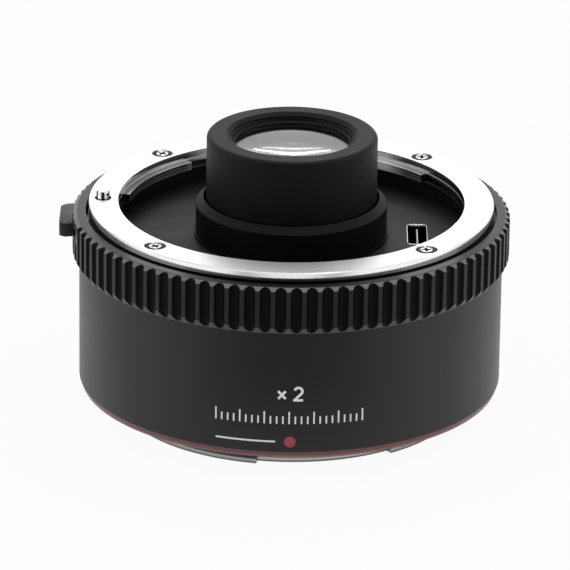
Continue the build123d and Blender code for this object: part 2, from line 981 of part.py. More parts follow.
with BuildPart() as rear_contact_pads:
    for azimuth in contact_azimuths:
        arc_block(
            contact_circle - rear_pad_width / 2,
            contact_circle + rear_pad_width / 2,
            azimuth,
            rear_pad_span,
            rear_block_bottom - rear_pad_thickness,
            rear_block_bottom,
        )
save(rear_contact_pads.part, "rear_contact_pads")

with BuildPart() as rear_inner_screws:
    rear_inner_screw = pan_screw(
        rear_screw_head_radius,
        rear_screw_head_height,
        rear_screw_core_radius,
        rear_ear_height + rear_baffle_thickness + rear_screw_grip,
        -1,
    )
    with Locations(*((x, y, rear_baffle_bottom - rear_ear_height) for x, y in rear_screw_places)):
        add(rear_inner_screw)
save(rear_inner_screws.part, "rear_inner_screws")

# Block that guides the spring pins, its stem let through the floor
with BuildPart() as front_contact_block:
    block_inner = contact_circle - contact_block_width / 2
    block_outer = contact_circle + contact_block_width / 2
    arc_block(
        block_inner, block_outer, contact_azimuth, contact_block_span, floor_top, contact_top
    )
    arc_block(
        block_inner,
        block_outer,
        contact_azimuth,
        contact_block_span + 2 * contact_ear_span,
        floor_top,
        floor_top + contact_ear_height,
    )
    arc_block(
        stem_inner, stem_outer, contact_azimuth, contact_stem_span, contact_bottom, floor_top
    )
    well_top = contact_top - pin_shoulder_drop + pin_gap
    drill(pin_tip_radius + pin_gap, contact_places, contact_bottom - cut_over, contact_top + cut_over)
    drill(pin_well_radius, contact_places, contact_bottom - cut_over, well_top)
    drill(
        contact_screw_core_radius + slide_gap,
        contact_screw_places,
        floor_top - cut_over,
        floor_top + contact_ear_height + cut_over,
    )
save(front_contact_block.part, "front_contact_block")

with BuildPart() as front_contact_screws:
    contact_screw = pan_screw(
        contact_screw_head_radius,
        contact_screw_head_height,
        contact_screw_core_radius,
        contact_ear_height + baffle_thickness + ledge_thickness,
        1,
    )
    with Locations(*((x, y, floor_top + contact_ear_height) for x, y in contact_screw_places)):
        add(contact_screw)
save(front_contact_screws.part, "front_contact_screws")

# Spring pins that meet the lens's contacts, each in its own bore
shoulder_top = contact_top - pin_shoulder_drop
shoulder_bottom = shoulder_top - pin_shoulder_height
for number, place in enumerate(contact_places, start=1):
    with BuildPart() as contact_pin:
        with BuildSketch(Plane.XY.offset(shoulder_top)):
            with Locations(place):
                Circle(pin_tip_radius)
        extrude(amount=pin_shoulder_drop + pin_tip_rise)
        fillet(contact_pin.edges().sort_by(Axis.Z)[-1], pin_tip_radius / 2)
        posts(pin_shoulder_radius, [place], shoulder_bottom, shoulder_top)
        posts(pin_stem_radius, [place], shoulder_bottom - pin_stem_length, shoulder_bottom)
    save(contact_pin.part, f"contact_pin_{number:02d}")

with BuildPart() as contact_springs:
    pin_spring = coil(
        pin_spring_radius, pin_spring_wire, pin_spring_turns, shoulder_bottom - contact_bottom
    )
    with Locations(*((x, y, contact_bottom) for x, y in contact_places)):
        add(pin_spring)
save(contact_springs.part, "contact_springs")

# Flexible circuit that closes the pins' wells and runs down to the board
with BuildPart() as front_flex:
    arc_block(
        stem_inner,
        stem_outer,
        contact_azimuth,
        contact_stem_span,
        contact_bottom - flex_thickness,
        contact_bottom,
    )
    front_connector_top = board_top + connector_height
    with BuildSketch(Plane.XY.offset(front_connector_top)):
        with Locations((0, -contact_circle)):
            Rectangle(flex_width, flex_thickness)
    extrude(amount=contact_bottom - front_connector_top)
save(front_flex.part, "front_flex")

with BuildPart() as rear_flex:
    with BuildSketch(Plane.XY.offset(rear_baffle_bottom)):
        with Locations((0, -contact_circle)):
            Rectangle(flex_width, flex_thickness)
    extrude(amount=board_bottom - connector_height - rear_baffle_bottom)
save(rear_flex.part, "rear_flex")

# Circuit board on two posts under the web
with BuildPart() as circuit_board:
    arc_block(
        board_inner,
        frame_tube_bore - 2 * slide_gap,
        contact_azimuth,
        board_span,
        board_bottom,
        board_top,
    )
    drill(
        board_screw_core_radius + slide_gap,
        board_post_places,
        board_bottom - cut_over,
        board_top + cut_over,
    )
save(circuit_board.part, "circuit_board")

with BuildPart() as controller_chip:
    with BuildSketch(Plane.XY.offset(board_bottom - chip_thickness)):
        with Locations(polar(chip_circle, chip_azimuth)):
            Rectangle(chip_side, chip_side, rotation=chip_azimuth)
    extrude(amount=chip_thickness)
save(controller_chip.part, "controller_chip")

with BuildPart() as board_connectors:
    for bottom in (board_top, board_bottom - connector_height):
        with BuildSketch(Plane.XY.offset(bottom)):
            with Locations((0, -contact_circle)):
                Rectangle(connector_width, connector_depth)
        extrude(amount=connector_height)
save(board_connectors.part, "board_connectors")

with BuildPart() as board_screws:
    board_screw = pan_screw(
        board_screw_head_radius,
        board_screw_head_height,
        board_screw_core_radius,
        board_thickness + board_screw_grip,
        -1,
    )
    with Locations(*((x, y, board_bottom) for x, y in board_post_places)):
        add(board_screw)
save(board_screws.part, "board_screws")

# Lens tube: one turned piece with a bore from each end
with BuildPart() as lens_tube:
    lathe(
        (tube_rear_radius, tube_bottom),
        (tube_rear_radius, web_top),
        (tube_flange_radius, web_top),
        (tube_flange_radius, web_top + tube_flange_thickness),
        (tube_rear_radius, web_top + tube_flange_thickness),
        (tube_rear_radius, floor_bottom),
        (tube_front_radius, floor_bottom),
        (tube_front_radius, tube_top),
        (front_bore, tube_top),
        (front_bore, front_seat),
        (waist_radius, front_seat),
        (waist_radius, rear_seat),
        (rear_bore, rear_seat),
        (rear_bore, tube_bottom),
    )
    drill(
        tube_screw_core_radius + slide_gap,
        tube_screw_places,
        web_top - cut_over,
        web_top + tube_flange_thickness + cut_over,
    )
save(lens_tube.part, "lens_tube")

with BuildPart() as lens_tube_screws:
    tube_screw = pan_screw(
        tube_screw_head_radius,
        tube_screw_head_height,
        tube_screw_core_radius,
        tube_flange_thickness + tube_screw_grip,
        1,
    )
    with Locations(*((x, y, web_top + tube_flange_thickness) for x, y in tube_screw_places)):
        add(tube_screw)
save(lens_tube_screws.part, "lens_tube_screws")

# Front barrel, screwed over the tube's nose
with BuildPart() as front_barrel:
    barrel_bottom = base_top - base_groove_depth + bond_gap
    lathe(
        (tube_front_radius + bond_gap, barrel_bottom),
        (barrel_radius, barrel_bottom),
        (barrel_radius, barrel_top),
        (barrel_mouth_radius, barrel_top),
        (barrel_thread_radius, barrel_top - barrel_mouth_depth),
        (barrel_thread_radius, tube_top),
        (tube_front_radius + bond_gap, tube_top),
    )
    fillet(front_barrel.edges().sort_by(Axis.Z)[-2:].sort_by(SortBy.RADIUS)[-1], barrel_edge_fillet)
save(front_barrel.part, "front_barrel")

# Stepped ring at the barrel's foot, which holds the floor down
with BuildPart() as barrel_base_ring:
    lathe(
        (tube_front_radius + bond_gap, floor_top),
        (base_foot_radius, floor_top),
        (base_foot_radius, floor_top + base_foot_height),
        (base_radius, floor_top + base_foot_height),
        (base_radius, base_top - base_chamfer_height),
        (base_crown_radius, base_top),
        (base_groove_radius, base_top),
        (base_groove_radius, base_top - base_groove_depth),
        (tube_front_radius + bond_gap, base_top - base_groove_depth),
    )
save(barrel_base_ring.part, "barrel_base_ring")

# Lenses and spacers, stacked from the front seat up and from the rear seat down
front_lens_radius = front_bore - lens_gap
rear_lens_radius = rear_bore - lens_gap
front_spacer_bore = front_lens_radius - spacer_wall
rear_spacer_bore = rear_lens_radius - spacer_wall
lens_4_top = front_seat + lens_4_edge
lens_1_bottom = tube_top - lens_1_edge
front_spacer_bottom = lens_1_bottom - front_spacer_height
lens_2_top = front_spacer_bottom - face_rise(front_lens_radius, lens_2_front, front_spacer_bore)
lens_3_top = lens_2_top - lens_2_edge - cement_gap
lens_3_bottom = lens_3_top - lens_3_edge
lens_6_top = rear_seat - lens_5_edge - cement_gap
lens_6_bottom = lens_6_top - lens_6_edge
rear_spacer_top = lens_6_bottom - face_rise(rear_lens_radius, lens_6_rear, rear_spacer_bore)
rear_spacer_bottom = rear_spacer_top - rear_spacer_height
lens_7_top = rear_spacer_bottom - face_rise(rear_lens_radius, lens_7_front, rear_spacer_bore)
lens_7_bottom = lens_7_top - lens_7_edge
save(lens(front_lens_radius, tube_top, lens_1_edge, lens_1_front, lens_1_rear), "lens_1")
save(lens(front_lens_radius, lens_2_top, lens_2_edge, lens_2_front, lens_2_rear), "lens_2")
save(lens(front_lens_radius, lens_3_top, lens_3_edge, -lens_2_rear, lens_3_rear), "lens_3")
save(lens(front_lens_radius, lens_4_top, lens_4_edge, lens_4_front, lens_4_rear), "lens_4")
save(lens(rear_lens_radius, rear_seat, lens_5_edge, lens_5_front, -lens_6_front), "lens_5")
save(lens(rear_lens_radius, lens_6_top, lens_6_edge, lens_6_front, lens_6_rear), "lens_6")
save(lens(rear_lens_radius, lens_7_top, lens_7_edge, lens_7_front, lens_7_rear), "lens_7")

with BuildPart() as spacer_front:
    tube(front_spacer_bore, front_lens_radius, front_spacer_bottom, lens_1_bottom)
save(spacer_front.part, "spacer_front")

with BuildPart() as spacer_middle:
    tube(front_spacer_bore, front_lens_radius, lens_4_top, lens_3_bottom)
save(spacer_middle.part, "spacer_middle")

with BuildPart() as spacer_rear:
    tube(rear_spacer_bore, rear_lens_radius, rear_spacer_bottom, rear_spacer_top)
save(spacer_rear.part, "spacer_rear")

# Stepped ring that screws down on the front lens
with BuildPart() as front_retaining_ring:
    ring_bottom = tube_top + face_rise(front_lens_radius, lens_1_front, front_ring_bore) + thread_gap
    ring_top = ring_bottom + front_ring_height
    lathe(
        (front_ring_bore, ring_bottom),
        (barrel_thread_radius - ring_gap, ring_bottom),
        (barrel_thread_radius - ring_gap, ring_top),
        (front_ring_mouth_radius, ring_top),
        (front_ring_step_radius, ring_bottom + front_ring_step),
        (front_ring_bore, ring_bottom + front_ring_step / 2),
    )
save(front_retaining_ring.part, "front_retaining_ring")

with BuildPart() as rear_retaining_ring:
    rear_ring_outer = rear_bore - ring_gap
    tube(rear_ring_bore, rear_ring_outer, lens_7_bottom - rear_ring_height, lens_7_bottom)
    with BuildSketch(Plane.XY.offset(lens_7_bottom - rear_ring_height)):
        Rectangle(2 * rear_bore, rear_ring_notch)
    extrude(amount=rear_ring_height / 2, mode=Mode.SUBTRACT)
save(rear_retaining_ring.part, "rear_retaining_ring")

# Lock pin with its peg, which the release slider's inclined slot pulls down
with BuildPart() as lock_pin:
    pin_top = front_plane + lock_pin_rise
    posts(lock_pin_radius, [lock_place], collar_top, pin_top)
    chamfer(lock_pin.edges().sort_by(Axis.Z)[-1], lock_pin_radius / 4)
    posts(lock_collar_radius, [lock_place], collar_top - lock_collar_height, collar_top)
    posts(
        lock_stem_radius,
        [lock_place],
        collar_top - lock_collar_height - lock_stem_length,
        collar_top,
    )
    with BuildSketch(Plane.YZ.offset(-lock_pin_circle - lock_pin_radius - cut_over)):
        with Locations((0, peg_height)):
            Circle(peg_radius + thread_gap)
    extrude(amount=lock_pin_radius + cut_over, mode=Mode.SUBTRACT)
save(lock_pin.part, "lock_pin")

with BuildPart() as lock_pin_peg:
    with BuildSketch(Plane.YZ.offset(-slider_outer + slide_gap)):
        with Locations((0, peg_height)):
            Circle(peg_radius)
    extrude(amount=slider_outer - slide_gap - lock_pin_circle)
save(lock_pin_peg.part, "lock_pin_peg")

with BuildPart() as lock_pin_spring:
    lock_spring = coil(
        lock_spring_radius,
        lock_spring_wire,
        lock_spring_turns,
        collar_top - lock_collar_height - web_top,
    )
    with Locations((*lock_place, web_top)):
        add(lock_spring)
save(lock_pin_spring.part, "lock_pin_spring")

# Release slider: a curved plate with the inclined slot and the stem of the thumb piece
with BuildPart() as release_slider:
    arc_block(
        slider_inner, slider_outer, release_azimuth, 2 * slider_half_span, slider_bottom, slider_top
    )
    slot_run = (slider_inner + slider_thickness / 2) * math.sin(math.radians(release_travel))
    slot_angle = -math.degrees(math.atan2(lock_pin_travel, slot_run))
    with BuildSketch(Plane.YZ.offset(-slider_outer - cut_over)):
        with Locations((slot_run / 2, peg_height - lock_pin_travel / 2)):
            SlotCenterToCenter(
                math.hypot(slot_run, lock_pin_travel),
                2 * (peg_radius + peg_slot_gap),
                rotation=slot_angle,
            )
    extrude(amount=slider_thickness + 2 * cut_over, mode=Mode.SUBTRACT)
    arc_block(
        slider_outer - slide_gap,
        stem_radius,
        release_azimuth,
        2 * stem_half_span,
        thumb_middle - stem_height / 2,
        thumb_middle + stem_height / 2,
    )
save(release_slider.part, "release_slider")

# Thumb piece pressed on the slider's stem outside the grip ring
with BuildPart() as release_thumb_piece:
    thumb_inner = grip_radius + thumb_gap
    thumb_reach = thumb_radius - thumb_inner * math.cos(math.radians(slider_half_span))
    with BuildSketch(Plane.XY.offset(thumb_middle - thumb_height / 2)):
        with Locations((-thumb_radius + thumb_reach / 2, 0)):
            Rectangle(thumb_reach, thumb_width)
    extrude(amount=thumb_height)
    fillet(
        release_thumb_piece.edges().filter_by(Axis.Z).group_by(Axis.X)[0],
        thumb_corner,
    )
    fillet(release_thumb_piece.faces().sort_by(Axis.Z)[-1].edges().sort_by(Axis.X)[:-1], thumb_edge)
    fillet(release_thumb_piece.faces().sort_by(Axis.Z)[0].edges().sort_by(Axis.X)[:-1], thumb_edge)
    tube(
        0,
        thumb_inner,
        thumb_middle - thumb_height,
        thumb_middle + thumb_height,
        mode=Mode.SUBTRACT,
    )
    arc_block(
        thumb_inner - cut_over,
        stem_radius + thread_gap,
        release_azimuth,
        2 * stem_half_span + math.degrees(2 * thread_gap / stem_radius),
        thumb_middle - stem_height / 2 - thread_gap,
        thumb_middle + stem_height / 2 + thread_gap,
        mode=Mode.SUBTRACT,
    )
save(release_thumb_piece.part, "release_thumb_piece")

with BuildPart() as release_spring:
    spring_circle = slider_recess_inner + (frame_radius - slider_recess_inner) / 2
    spring_angle = math.radians(release_spring_span)
    spring_length = spring_circle * math.sin(spring_angle)
    spring_middle = release_azimuth + slider_half_span + release_spring_span / 2
    spring_centre = polar(spring_circle * (1 + math.cos(spring_angle / 2)) / 2, spring_middle)
    spring_plane = Plane(
        origin=(*spring_centre, release_spring_height), z_dir=(*polar(1, spring_middle + 90), 0)
    ).offset(-spring_length / 2)
    release_coil = coil(
        release_spring_radius, release_spring_wire, release_spring_turns, spring_length
    )
    with Locations(spring_plane):
        add(release_coil)
save(release_spring.part, "release_spring")

print("flange to flange", flange_to_flange, "mm, over the lever", thumb_radius + grip_radius, "mm")
print("height", barrel_top + bayonet_length, "mm")
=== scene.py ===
"""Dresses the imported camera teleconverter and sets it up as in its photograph.

The frame's origin is the centre of the rear flange's face on the optical axis. +Z is the front, -Y the
side with the red dot. Sizes in this file are in millimetres and turn into metres where meshes are made.
"""

import math

import bmesh
import bpy
from mathutils import Matrix, Quaternion, Vector


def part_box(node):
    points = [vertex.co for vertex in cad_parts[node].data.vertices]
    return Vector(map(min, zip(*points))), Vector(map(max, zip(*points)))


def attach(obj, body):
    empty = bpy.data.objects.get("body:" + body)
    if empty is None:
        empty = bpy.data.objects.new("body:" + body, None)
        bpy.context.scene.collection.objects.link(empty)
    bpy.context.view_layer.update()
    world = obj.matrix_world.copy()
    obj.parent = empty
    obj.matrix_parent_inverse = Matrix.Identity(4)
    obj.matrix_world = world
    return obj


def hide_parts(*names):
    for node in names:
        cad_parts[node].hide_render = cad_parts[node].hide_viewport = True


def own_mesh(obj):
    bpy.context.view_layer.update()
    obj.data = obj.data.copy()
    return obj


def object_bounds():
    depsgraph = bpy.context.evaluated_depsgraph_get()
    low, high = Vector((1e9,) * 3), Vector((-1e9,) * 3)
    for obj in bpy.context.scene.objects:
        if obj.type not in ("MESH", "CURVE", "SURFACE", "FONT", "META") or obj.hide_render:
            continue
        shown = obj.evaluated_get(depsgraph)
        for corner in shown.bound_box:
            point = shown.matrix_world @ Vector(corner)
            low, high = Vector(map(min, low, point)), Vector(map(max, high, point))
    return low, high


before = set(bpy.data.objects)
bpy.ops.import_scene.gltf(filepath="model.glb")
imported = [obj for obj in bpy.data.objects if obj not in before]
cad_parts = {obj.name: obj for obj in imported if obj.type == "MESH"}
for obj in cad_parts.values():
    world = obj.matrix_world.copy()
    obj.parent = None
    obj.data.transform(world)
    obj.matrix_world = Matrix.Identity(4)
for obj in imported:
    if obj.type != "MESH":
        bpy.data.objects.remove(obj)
cad_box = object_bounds()

bl_info = {
    "name": "Camera teleconverter",
    "version": (1, 0, 0),
    "blender": (4, 5, 0),
    "location": "3D View > Sidebar > Converter",
    "description": "Dresses the teleconverter's solids with detailed pieces and materials",
    "category": "Object",
}

MM = 0.001

# Heights of the flange's face and the socket's floor, and radii of the shell and the grip ring
FRONT = 31.7
FLOOR = 26.0
SHELL = 34.9
GRIP = 36.0

# Flange screws: azimuths, their circle, a head's radius and cross, and the thin arcs of painted shade beside
# the heads
SCREW_AZIMUTHS = (45, 135, 225, 315)
SCREW_CIRCLE = 30.85
HEAD_RADIUS = 1.02
RECESS_REACH = 0.78
RECESS_HALF = 0.24
RECESS_TURN = 1.7
RECESS_START = 12
ARC_RADII = (1.12, 1.66)
ARC_HALF_SPAN = 48
ARC_STEP = 8
ARC_HEIGHT = 0.02

# A head's rings, first the round ones and then the cross: shares of their size and depths below the face
HEAD_RINGS = ((1.0, 0.6), (1.0, 0.1), (0.94, 0.04))
RECESS_RINGS = ((1.0, 0.04), (0.8, 0.5), (0.02, 0.6))
# Depth below the face under which a recess is painted black as shade
SHADE_DEPTH = 0.3

# Lock pin: its place in X, the radii of the painted shade ring in the gap around it, its side's heights, and
# in X the dark streaks of painted reflection on its side
PIN_PLACE = -31
PIN_SHADE_RADII = (1.16, 1.4)
PIN_SIDE = (20, FRONT + 1.24)
PIN_PAINTED_REFLECTIONS = ((-33, -31.8), (-31.25, -30.7), (-30.1, -29))

# Slot in the socket's floor: middle in X, half sizes, corner rounding, and (outward, up) of its rim
SLOT_CENTRE = 20.8
SLOT_HALF_WIDTH = 1.6
SLOT_HALF_LENGTH = 4.55
SLOT_ROUNDING = 0.85
RIM_PROFILE = ((-0.04, -0.35), (-0.04, 0.01), (0.0, 0.04), (0.08, 0.04), (0.12, 0.01), (0.12, -0.1))

# Thumb piece: azimuths along the grip ring, outer corners (x, y, rounding), heights and bevel
THUMB_AZIMUTHS = (172, 174, 176, 178, 180, 182, 184, 186.8)
THUMB_CORNERS = ((-36.2, -4.35, 0), (-38.1, -4.35, 1.0), (-38.1, 4.95, 1.5), (-36.0, 4.95, 0))
THUMB_BOTTOM = 26.38
THUMB_TOP = 28.72
THUMB_BEVEL = 0.22

# Marks on the shell, as runs along it and heights: the numeral, the cross, the ticks and the bar
MARK_WIDTH = 0.4
MARK_LIFT = 0.015
MARK_STEP = 0.8
NUMERAL_SHIFT = 1.55
NUMERAL_MIDDLE = 12.06
NUMERAL_RADIUS = 0.62
NUMERAL_TURNS = (165, -38)
NUMERAL_STEPS = 14
NUMERAL_CORNER = (-0.66, 10.52)
NUMERAL_FOOT = ((-0.84, 10.52), (0.74, 10.52))
CROSS_SHIFT = -1.1
CROSS_HEIGHTS = (10.74, 12.06)
CROSS_RUN = 0.6
TICKS = range(-12, 13)
TICK_SHIFT = 0.1
TICK_FOOT = 6.4
LONG_TICK = 2.1
SHORT_TICK = 1.3
TICK_WIDTH = 0.26
MARK_BAR = ((-11.9, 3.3), (-2.1, 3.3))
MARK_BAR_WIDTH = 0.3

# Travel of the lock pin and the contact pins in mm and of the release in degrees, and the release's coil
LOCK_TRAVEL = 1.5
PIN_TRAVEL = 0.6
RELEASE_TRAVEL = 5.5
RELEASE_COIL_AZIMUTH = 194.3
RELEASE_COIL_RADIUS = 32.84
RELEASE_COIL_LENGTH = 5.49
RELEASE_COIL_HEIGHT = 26.4
RELEASE_COIL_SLACK = 0.03

# Camera: the picture's width and its middle's place beside the flange's middle in pixels, the film in mm
PICTURE_WIDTH = 570
AIM_RIGHT = -5.325
AIM_UP = -84.908
FILM_WIDTH = 36
CLIP_START = 0.05

# Area lamps in metres: place, size and the stage's property for the power
LAMPS = {
    "key_lamp": ((0.05, 0.1, 0.75), 0.7, "key"),
    "left_lamp": ((-0.75, -0.1, 0.35), 0.6, "side"),
    "right_lamp": ((0.75, -0.05, 0.35), 0.6, "side"),
    "back_lamp": ((0, 1.1, 0.5), 1.3, "back"),
}
LAMP_TARGET = (0, 0, 0.02)

# Floor: half its width in metres, and how much of it glows by itself and takes no shadow
FLOOR_REACH = 3.0
FLOOR_GLOW = 0.94

# What gloss sees darker: a patch of the floor, by where it fades in metres, and the front, by direction
PATCH_ASIDE = (0.02, 0.085)
PATCH_BEHIND = (-0.082, -0.042)
PATCH_BEFORE = (-0.126, -0.108)
ROOM_FRONT = (-0.97, -0.4)

# Light bars in metres: height of the middle, half the width, thickness, and how far the ends hang down
LIGHT_BARS = ((0.69, 0.14, 0.075, 0.154), (0.6, 0.107, 0.018, 0.068))
LIGHT_BARS_BEHIND = 0.9
LIGHT_BAR_STEPS = 10

SPRINGS = ("contact_springs", "lock_pin_spring", "release_spring", "front_mount_spring", "release_slider")
SCREWS = (
    "chassis_screws",
    "lens_tube_screws",
    "front_contact_screws",
    "rear_mount_screws",
    "rear_inner_screws",
    "board_screws",
    "lock_pin_peg",
)
BAFFLES = ("front_baffle", "rear_baffle", "spacer_front", "spacer_middle", "spacer_rear", "lens_tube")
LENSES = tuple(f"lens_{number}" for number in range(1, 8))
PINS = tuple(f"contact_pin_{number:02d}" for number in range(1, 12))

# Measures for zones, as shares of radius, height and X, and half the width in mm of a sharp edge
RADIUS = (1, 0, 0)
HEIGHT = (0, 1, 0)
ACROSS = (0, 0, 1)
UPPER_CHAMFER = (0.55, 0.75, 0)
LOWER_CHAMFER = (1.1, -0.75, 0)
SHARP = 0.012
SPECULAR = "Specular IOR Level"

# Roughness of the satin face, how dark dull patches are, and where streaks start and end in their noise
SATIN = 0.42
DULL = 0.97
STREAK_EDGES = (0.35, 0.62)


# Node helpers


def new_material(name):
    """A material with nodes, its tree and its principled shader."""
    material = bpy.data.materials.new(name)
    material.use_nodes = True
    tree = material.node_tree
    return material, tree, tree.nodes["Principled BSDF"]


def node(tree, kind, **values):
    made = tree.nodes.new(kind)
    for key, value in values.items():
        setattr(made, key, value)
    return made


def object_point(tree):
    return node(tree, "ShaderNodeTexCoord").outputs["Object"]


def axes(tree, point):
    """A point's X, Y and Z."""
    made = node(tree, "ShaderNodeSeparateXYZ")
    tree.links.new(point, made.inputs[0])
    return tuple(made.outputs)


def noise(tree, point, scale, detail=4.0, roughness=0.6):
    """A noise whose scale is the size of its lumps in millimetres."""
    made = node(tree, "ShaderNodeTexNoise")
    made.inputs["Scale"].default_value = 1.0 / (scale * MM)
    made.inputs["Detail"].default_value = detail
    made.inputs["Roughness"].default_value = roughness
    tree.links.new(point, made.inputs["Vector"])
    return made.outputs["Fac"]


def spread(tree, value, low, high, start=0.3, stop=0.7, kind="LINEAR"):
    """Maps a value's middle part to a range."""
    made = node(tree, "ShaderNodeMapRange", interpolation_type=kind)
    made.inputs["From Min"].default_value = start
    made.inputs["From Max"].default_value = stop
    made.inputs["To Min"].default_value = low
    made.inputs["To Max"].default_value = high
    tree.links.new(value, made.inputs["Value"])
    return made.outputs["Result"]


def ramp(tree, value, limits, low, high):
    """Maps a value smoothly from low to high between two limits."""
    start, stop = limits
    return spread(tree, value, low, high, start, stop, "SMOOTHSTEP")


def blend_shaders(tree, factor, first, second):
    made = node(tree, "ShaderNodeMixShader")
    for source, socket in zip((factor, first, second), made.inputs):
        tree.links.new(source, socket)
    return made.outputs[0]


def blend_colours(tree, factor, first, second):
    made = node(tree, "ShaderNodeMix", data_type="RGBA")
    made.inputs[6].default_value = (*first, 1)
    made.inputs[7].default_value = (*second, 1)
    tree.links.new(factor, made.inputs[0])
    return made.outputs[2]


def bump(tree, shader, height, distance):
    """Bump of a depth in millimetres."""
    made = node(tree, "ShaderNodeBump")
    made.inputs["Strength"].default_value = 1.0
    made.inputs["Distance"].default_value = distance * MM
    tree.links.new(height, made.inputs["Height"])
    tree.links.new(made.outputs["Normal"], shader.inputs["Normal"])


def maths(tree, operation, first, second):
    made = node(tree, "ShaderNodeMath", operation=operation)
    tree.links.new(first, made.inputs[0])
    tree.links.new(second, made.inputs[1])
    return made.outputs[0]


def scaled(tree, value, share):
    made = node(tree, "ShaderNodeMath", operation="MULTIPLY")
    tree.links.new(value, made.inputs[0])
    made.inputs[1].default_value = share
    return made.outputs[0]


def measures(tree, point):
    """A point's distance from the optical axis, its height and its place from left to right."""
    x, y, z = axes(tree, point)
    flat = node(tree, "ShaderNodeCombineXYZ")
    tree.links.new(x, flat.inputs["X"])
    tree.links.new(y, flat.inputs["Y"])
    length = node(tree, "ShaderNodeVectorMath", operation="LENGTH")
    tree.links.new(flat.outputs[0], length.inputs[0])
    return length.outputs["Value"], z, x


def turning_marks(tree, point, pitch):
    """Fine concentric lines about the optical axis: noise read along radius and height only."""
    radius, height, _ = measures(tree, point)
    joined = node(tree, "ShaderNodeCombineXYZ")
    tree.links.new(radius, joined.inputs["X"])
    tree.links.new(height, joined.inputs["Y"])
    return noise(tree, joined.outputs[0], pitch, 3.0, 0.5)


def band(tree, value, low, high, soft):
    """1 where a measure lies between two values in millimetres."""
    rise = spread(tree, value, 0, 1, (low - soft) * MM, (low + soft) * MM)
    fall = spread(tree, value, 1, 0, (high - soft) * MM, (high + soft) * MM)
    return maths(tree, "MULTIPLY", rise, fall)


def zone(material, limits, colour, streaks=None, soft=SHARP, **values):
    """Another look within limits in millimetres.

    Each measure is a mix of radius, height and X by three shares. Streaks are a pitch and a least cover.
    """
    tree = material.node_tree
    shader = tree.nodes["Principled BSDF"]
    point = object_point(tree)
    parts = measures(tree, point)
    where = None
    for shares, (low, high) in limits.items():
        measure = scaled(tree, parts[0], shares[0])
        for part, share in zip(parts[1:], shares[1:]):
            measure = maths(tree, "ADD", measure, scaled(tree, part, share))
        part = band(tree, measure, low, high, soft if shares == ACROSS else SHARP)
        where = part if where is None else maths(tree, "MULTIPLY", where, part)
    cover = where
    if streaks:
        pitch, least = streaks
        marks = spread(tree, turning_marks(tree, point, pitch), 1, least, *STREAK_EDGES)
        cover = maths(tree, "MULTIPLY", where, marks)
    blend = node(tree, "ShaderNodeMix", data_type="RGBA")
    tree.links.new(cover, blend.inputs[0])
    tree.links.new(shader.inputs["Base Color"].links[0].from_socket, blend.inputs[6])
    blend.inputs[7].default_value = (*colour, 1)
    tree.links.new(blend.outputs[2], shader.inputs["Base Color"])
    for key, value in values.items():
        socket = shader.inputs[key]
        mix = node(tree, "ShaderNodeMix")
        tree.links.new(where, mix.inputs[0])
        if socket.links:
            tree.links.new(socket.links[0].from_socket, mix.inputs[2])
        else:
            mix.inputs[2].default_value = socket.default_value
        mix.inputs[3].default_value = value
        tree.links.new(mix.outputs[0], socket)
    return material


def grey(level):
    return (level, level, level)


def varied_colour(tree, patches, values, dark_share):
    """The finish's colour, down to a share of it in the patches."""
    colour = tuple(values.colour)
    dark = tuple(channel * dark_share for channel in colour)
    return blend_colours(tree, spread(tree, patches, 0, 1), dark, colour)


def varied_roughness(tree, patches, values):
    """Roughness that wanders with the patches about its middle."""
    return spread(tree, patches, values.roughness - values.variation, values.roughness + values.variation)


def brushed(material, share):
    """Reflections drawn out across the turning marks."""
    tree = material.node_tree
    shader = tree.nodes["Principled BSDF"]
    shader.inputs["Anisotropic"].default_value = share
    tangent = node(tree, "ShaderNodeTangent", direction_type="RADIAL", axis="Z")
    tree.links.new(tangent.outputs[0], shader.inputs["Tangent"])
    return material


def coated(name, values, dark_share=0.7):
    """Painted or anodised metal: fine grain in colour, roughness and bump."""
    material, tree, shader = new_material(name)
    point = object_point(tree)
    wide = noise(tree, point, values.patch)
    fine = noise(tree, point, values.grain, 2.0)
    tree.links.new(varied_colour(tree, wide, values, dark_share), shader.inputs["Base Color"])
    tree.links.new(varied_roughness(tree, wide, values), shader.inputs["Roughness"])
    shader.inputs["Metallic"].default_value = values.metallic
    shader.inputs[SPECULAR].default_value = values.specular
    bump(tree, shader, fine, values.relief)
    return material


def turned_metal(name, values, satin_above=None):
    """Bright turned metal with fine concentric marks and faint smudges, satin above some height in mm."""
    material, tree, shader = new_material(name)
    point = object_point(tree)
    marks = turning_marks(tree, point, values.grain)
    smudge = noise(tree, point, values.patch)
    tree.links.new(varied_colour(tree, marks, values, DULL), shader.inputs["Base Color"])
    roughness = varied_roughness(tree, smudge, values)
    if satin_above is not None:
        edge = satin_above * MM
        top = spread(tree, axes(tree, point)[2], 0, SATIN, edge - 1e-5, edge + 1e-5)
        roughness = maths(tree, "MAXIMUM", roughness, top)
    tree.links.new(roughness, shader.inputs["Roughness"])
    shader.inputs["Metallic"].default_value = 1.0
    bump(tree, shader, marks, values.relief)
    return material


def glass(name, values):
    """Coated optical glass with faint unevenness in its coating."""
    material, tree, shader = new_material(name)
    point = object_point(tree)
    patch = noise(tree, point, values.patch)
    tree.links.new(varied_colour(tree, patch, values, DULL), shader.inputs["Base Color"])
    roughness = spread(tree, patch, values.roughness, values.roughness + values.variation)
    tree.links.new(roughness, shader.inputs["Roughness"])
    shader.inputs["Transmission Weight"].default_value = 1.0
    shader.inputs["IOR"].default_value = 1.5
    return material


# Mesh helpers


def place(radius, azimuth, height):
    """A point from its radius, its azimuth in degrees and its height, all in millimetres."""
    turn = math.radians(azimuth)
    return Vector((radius * math.cos(turn), radius * math.sin(turn), height))


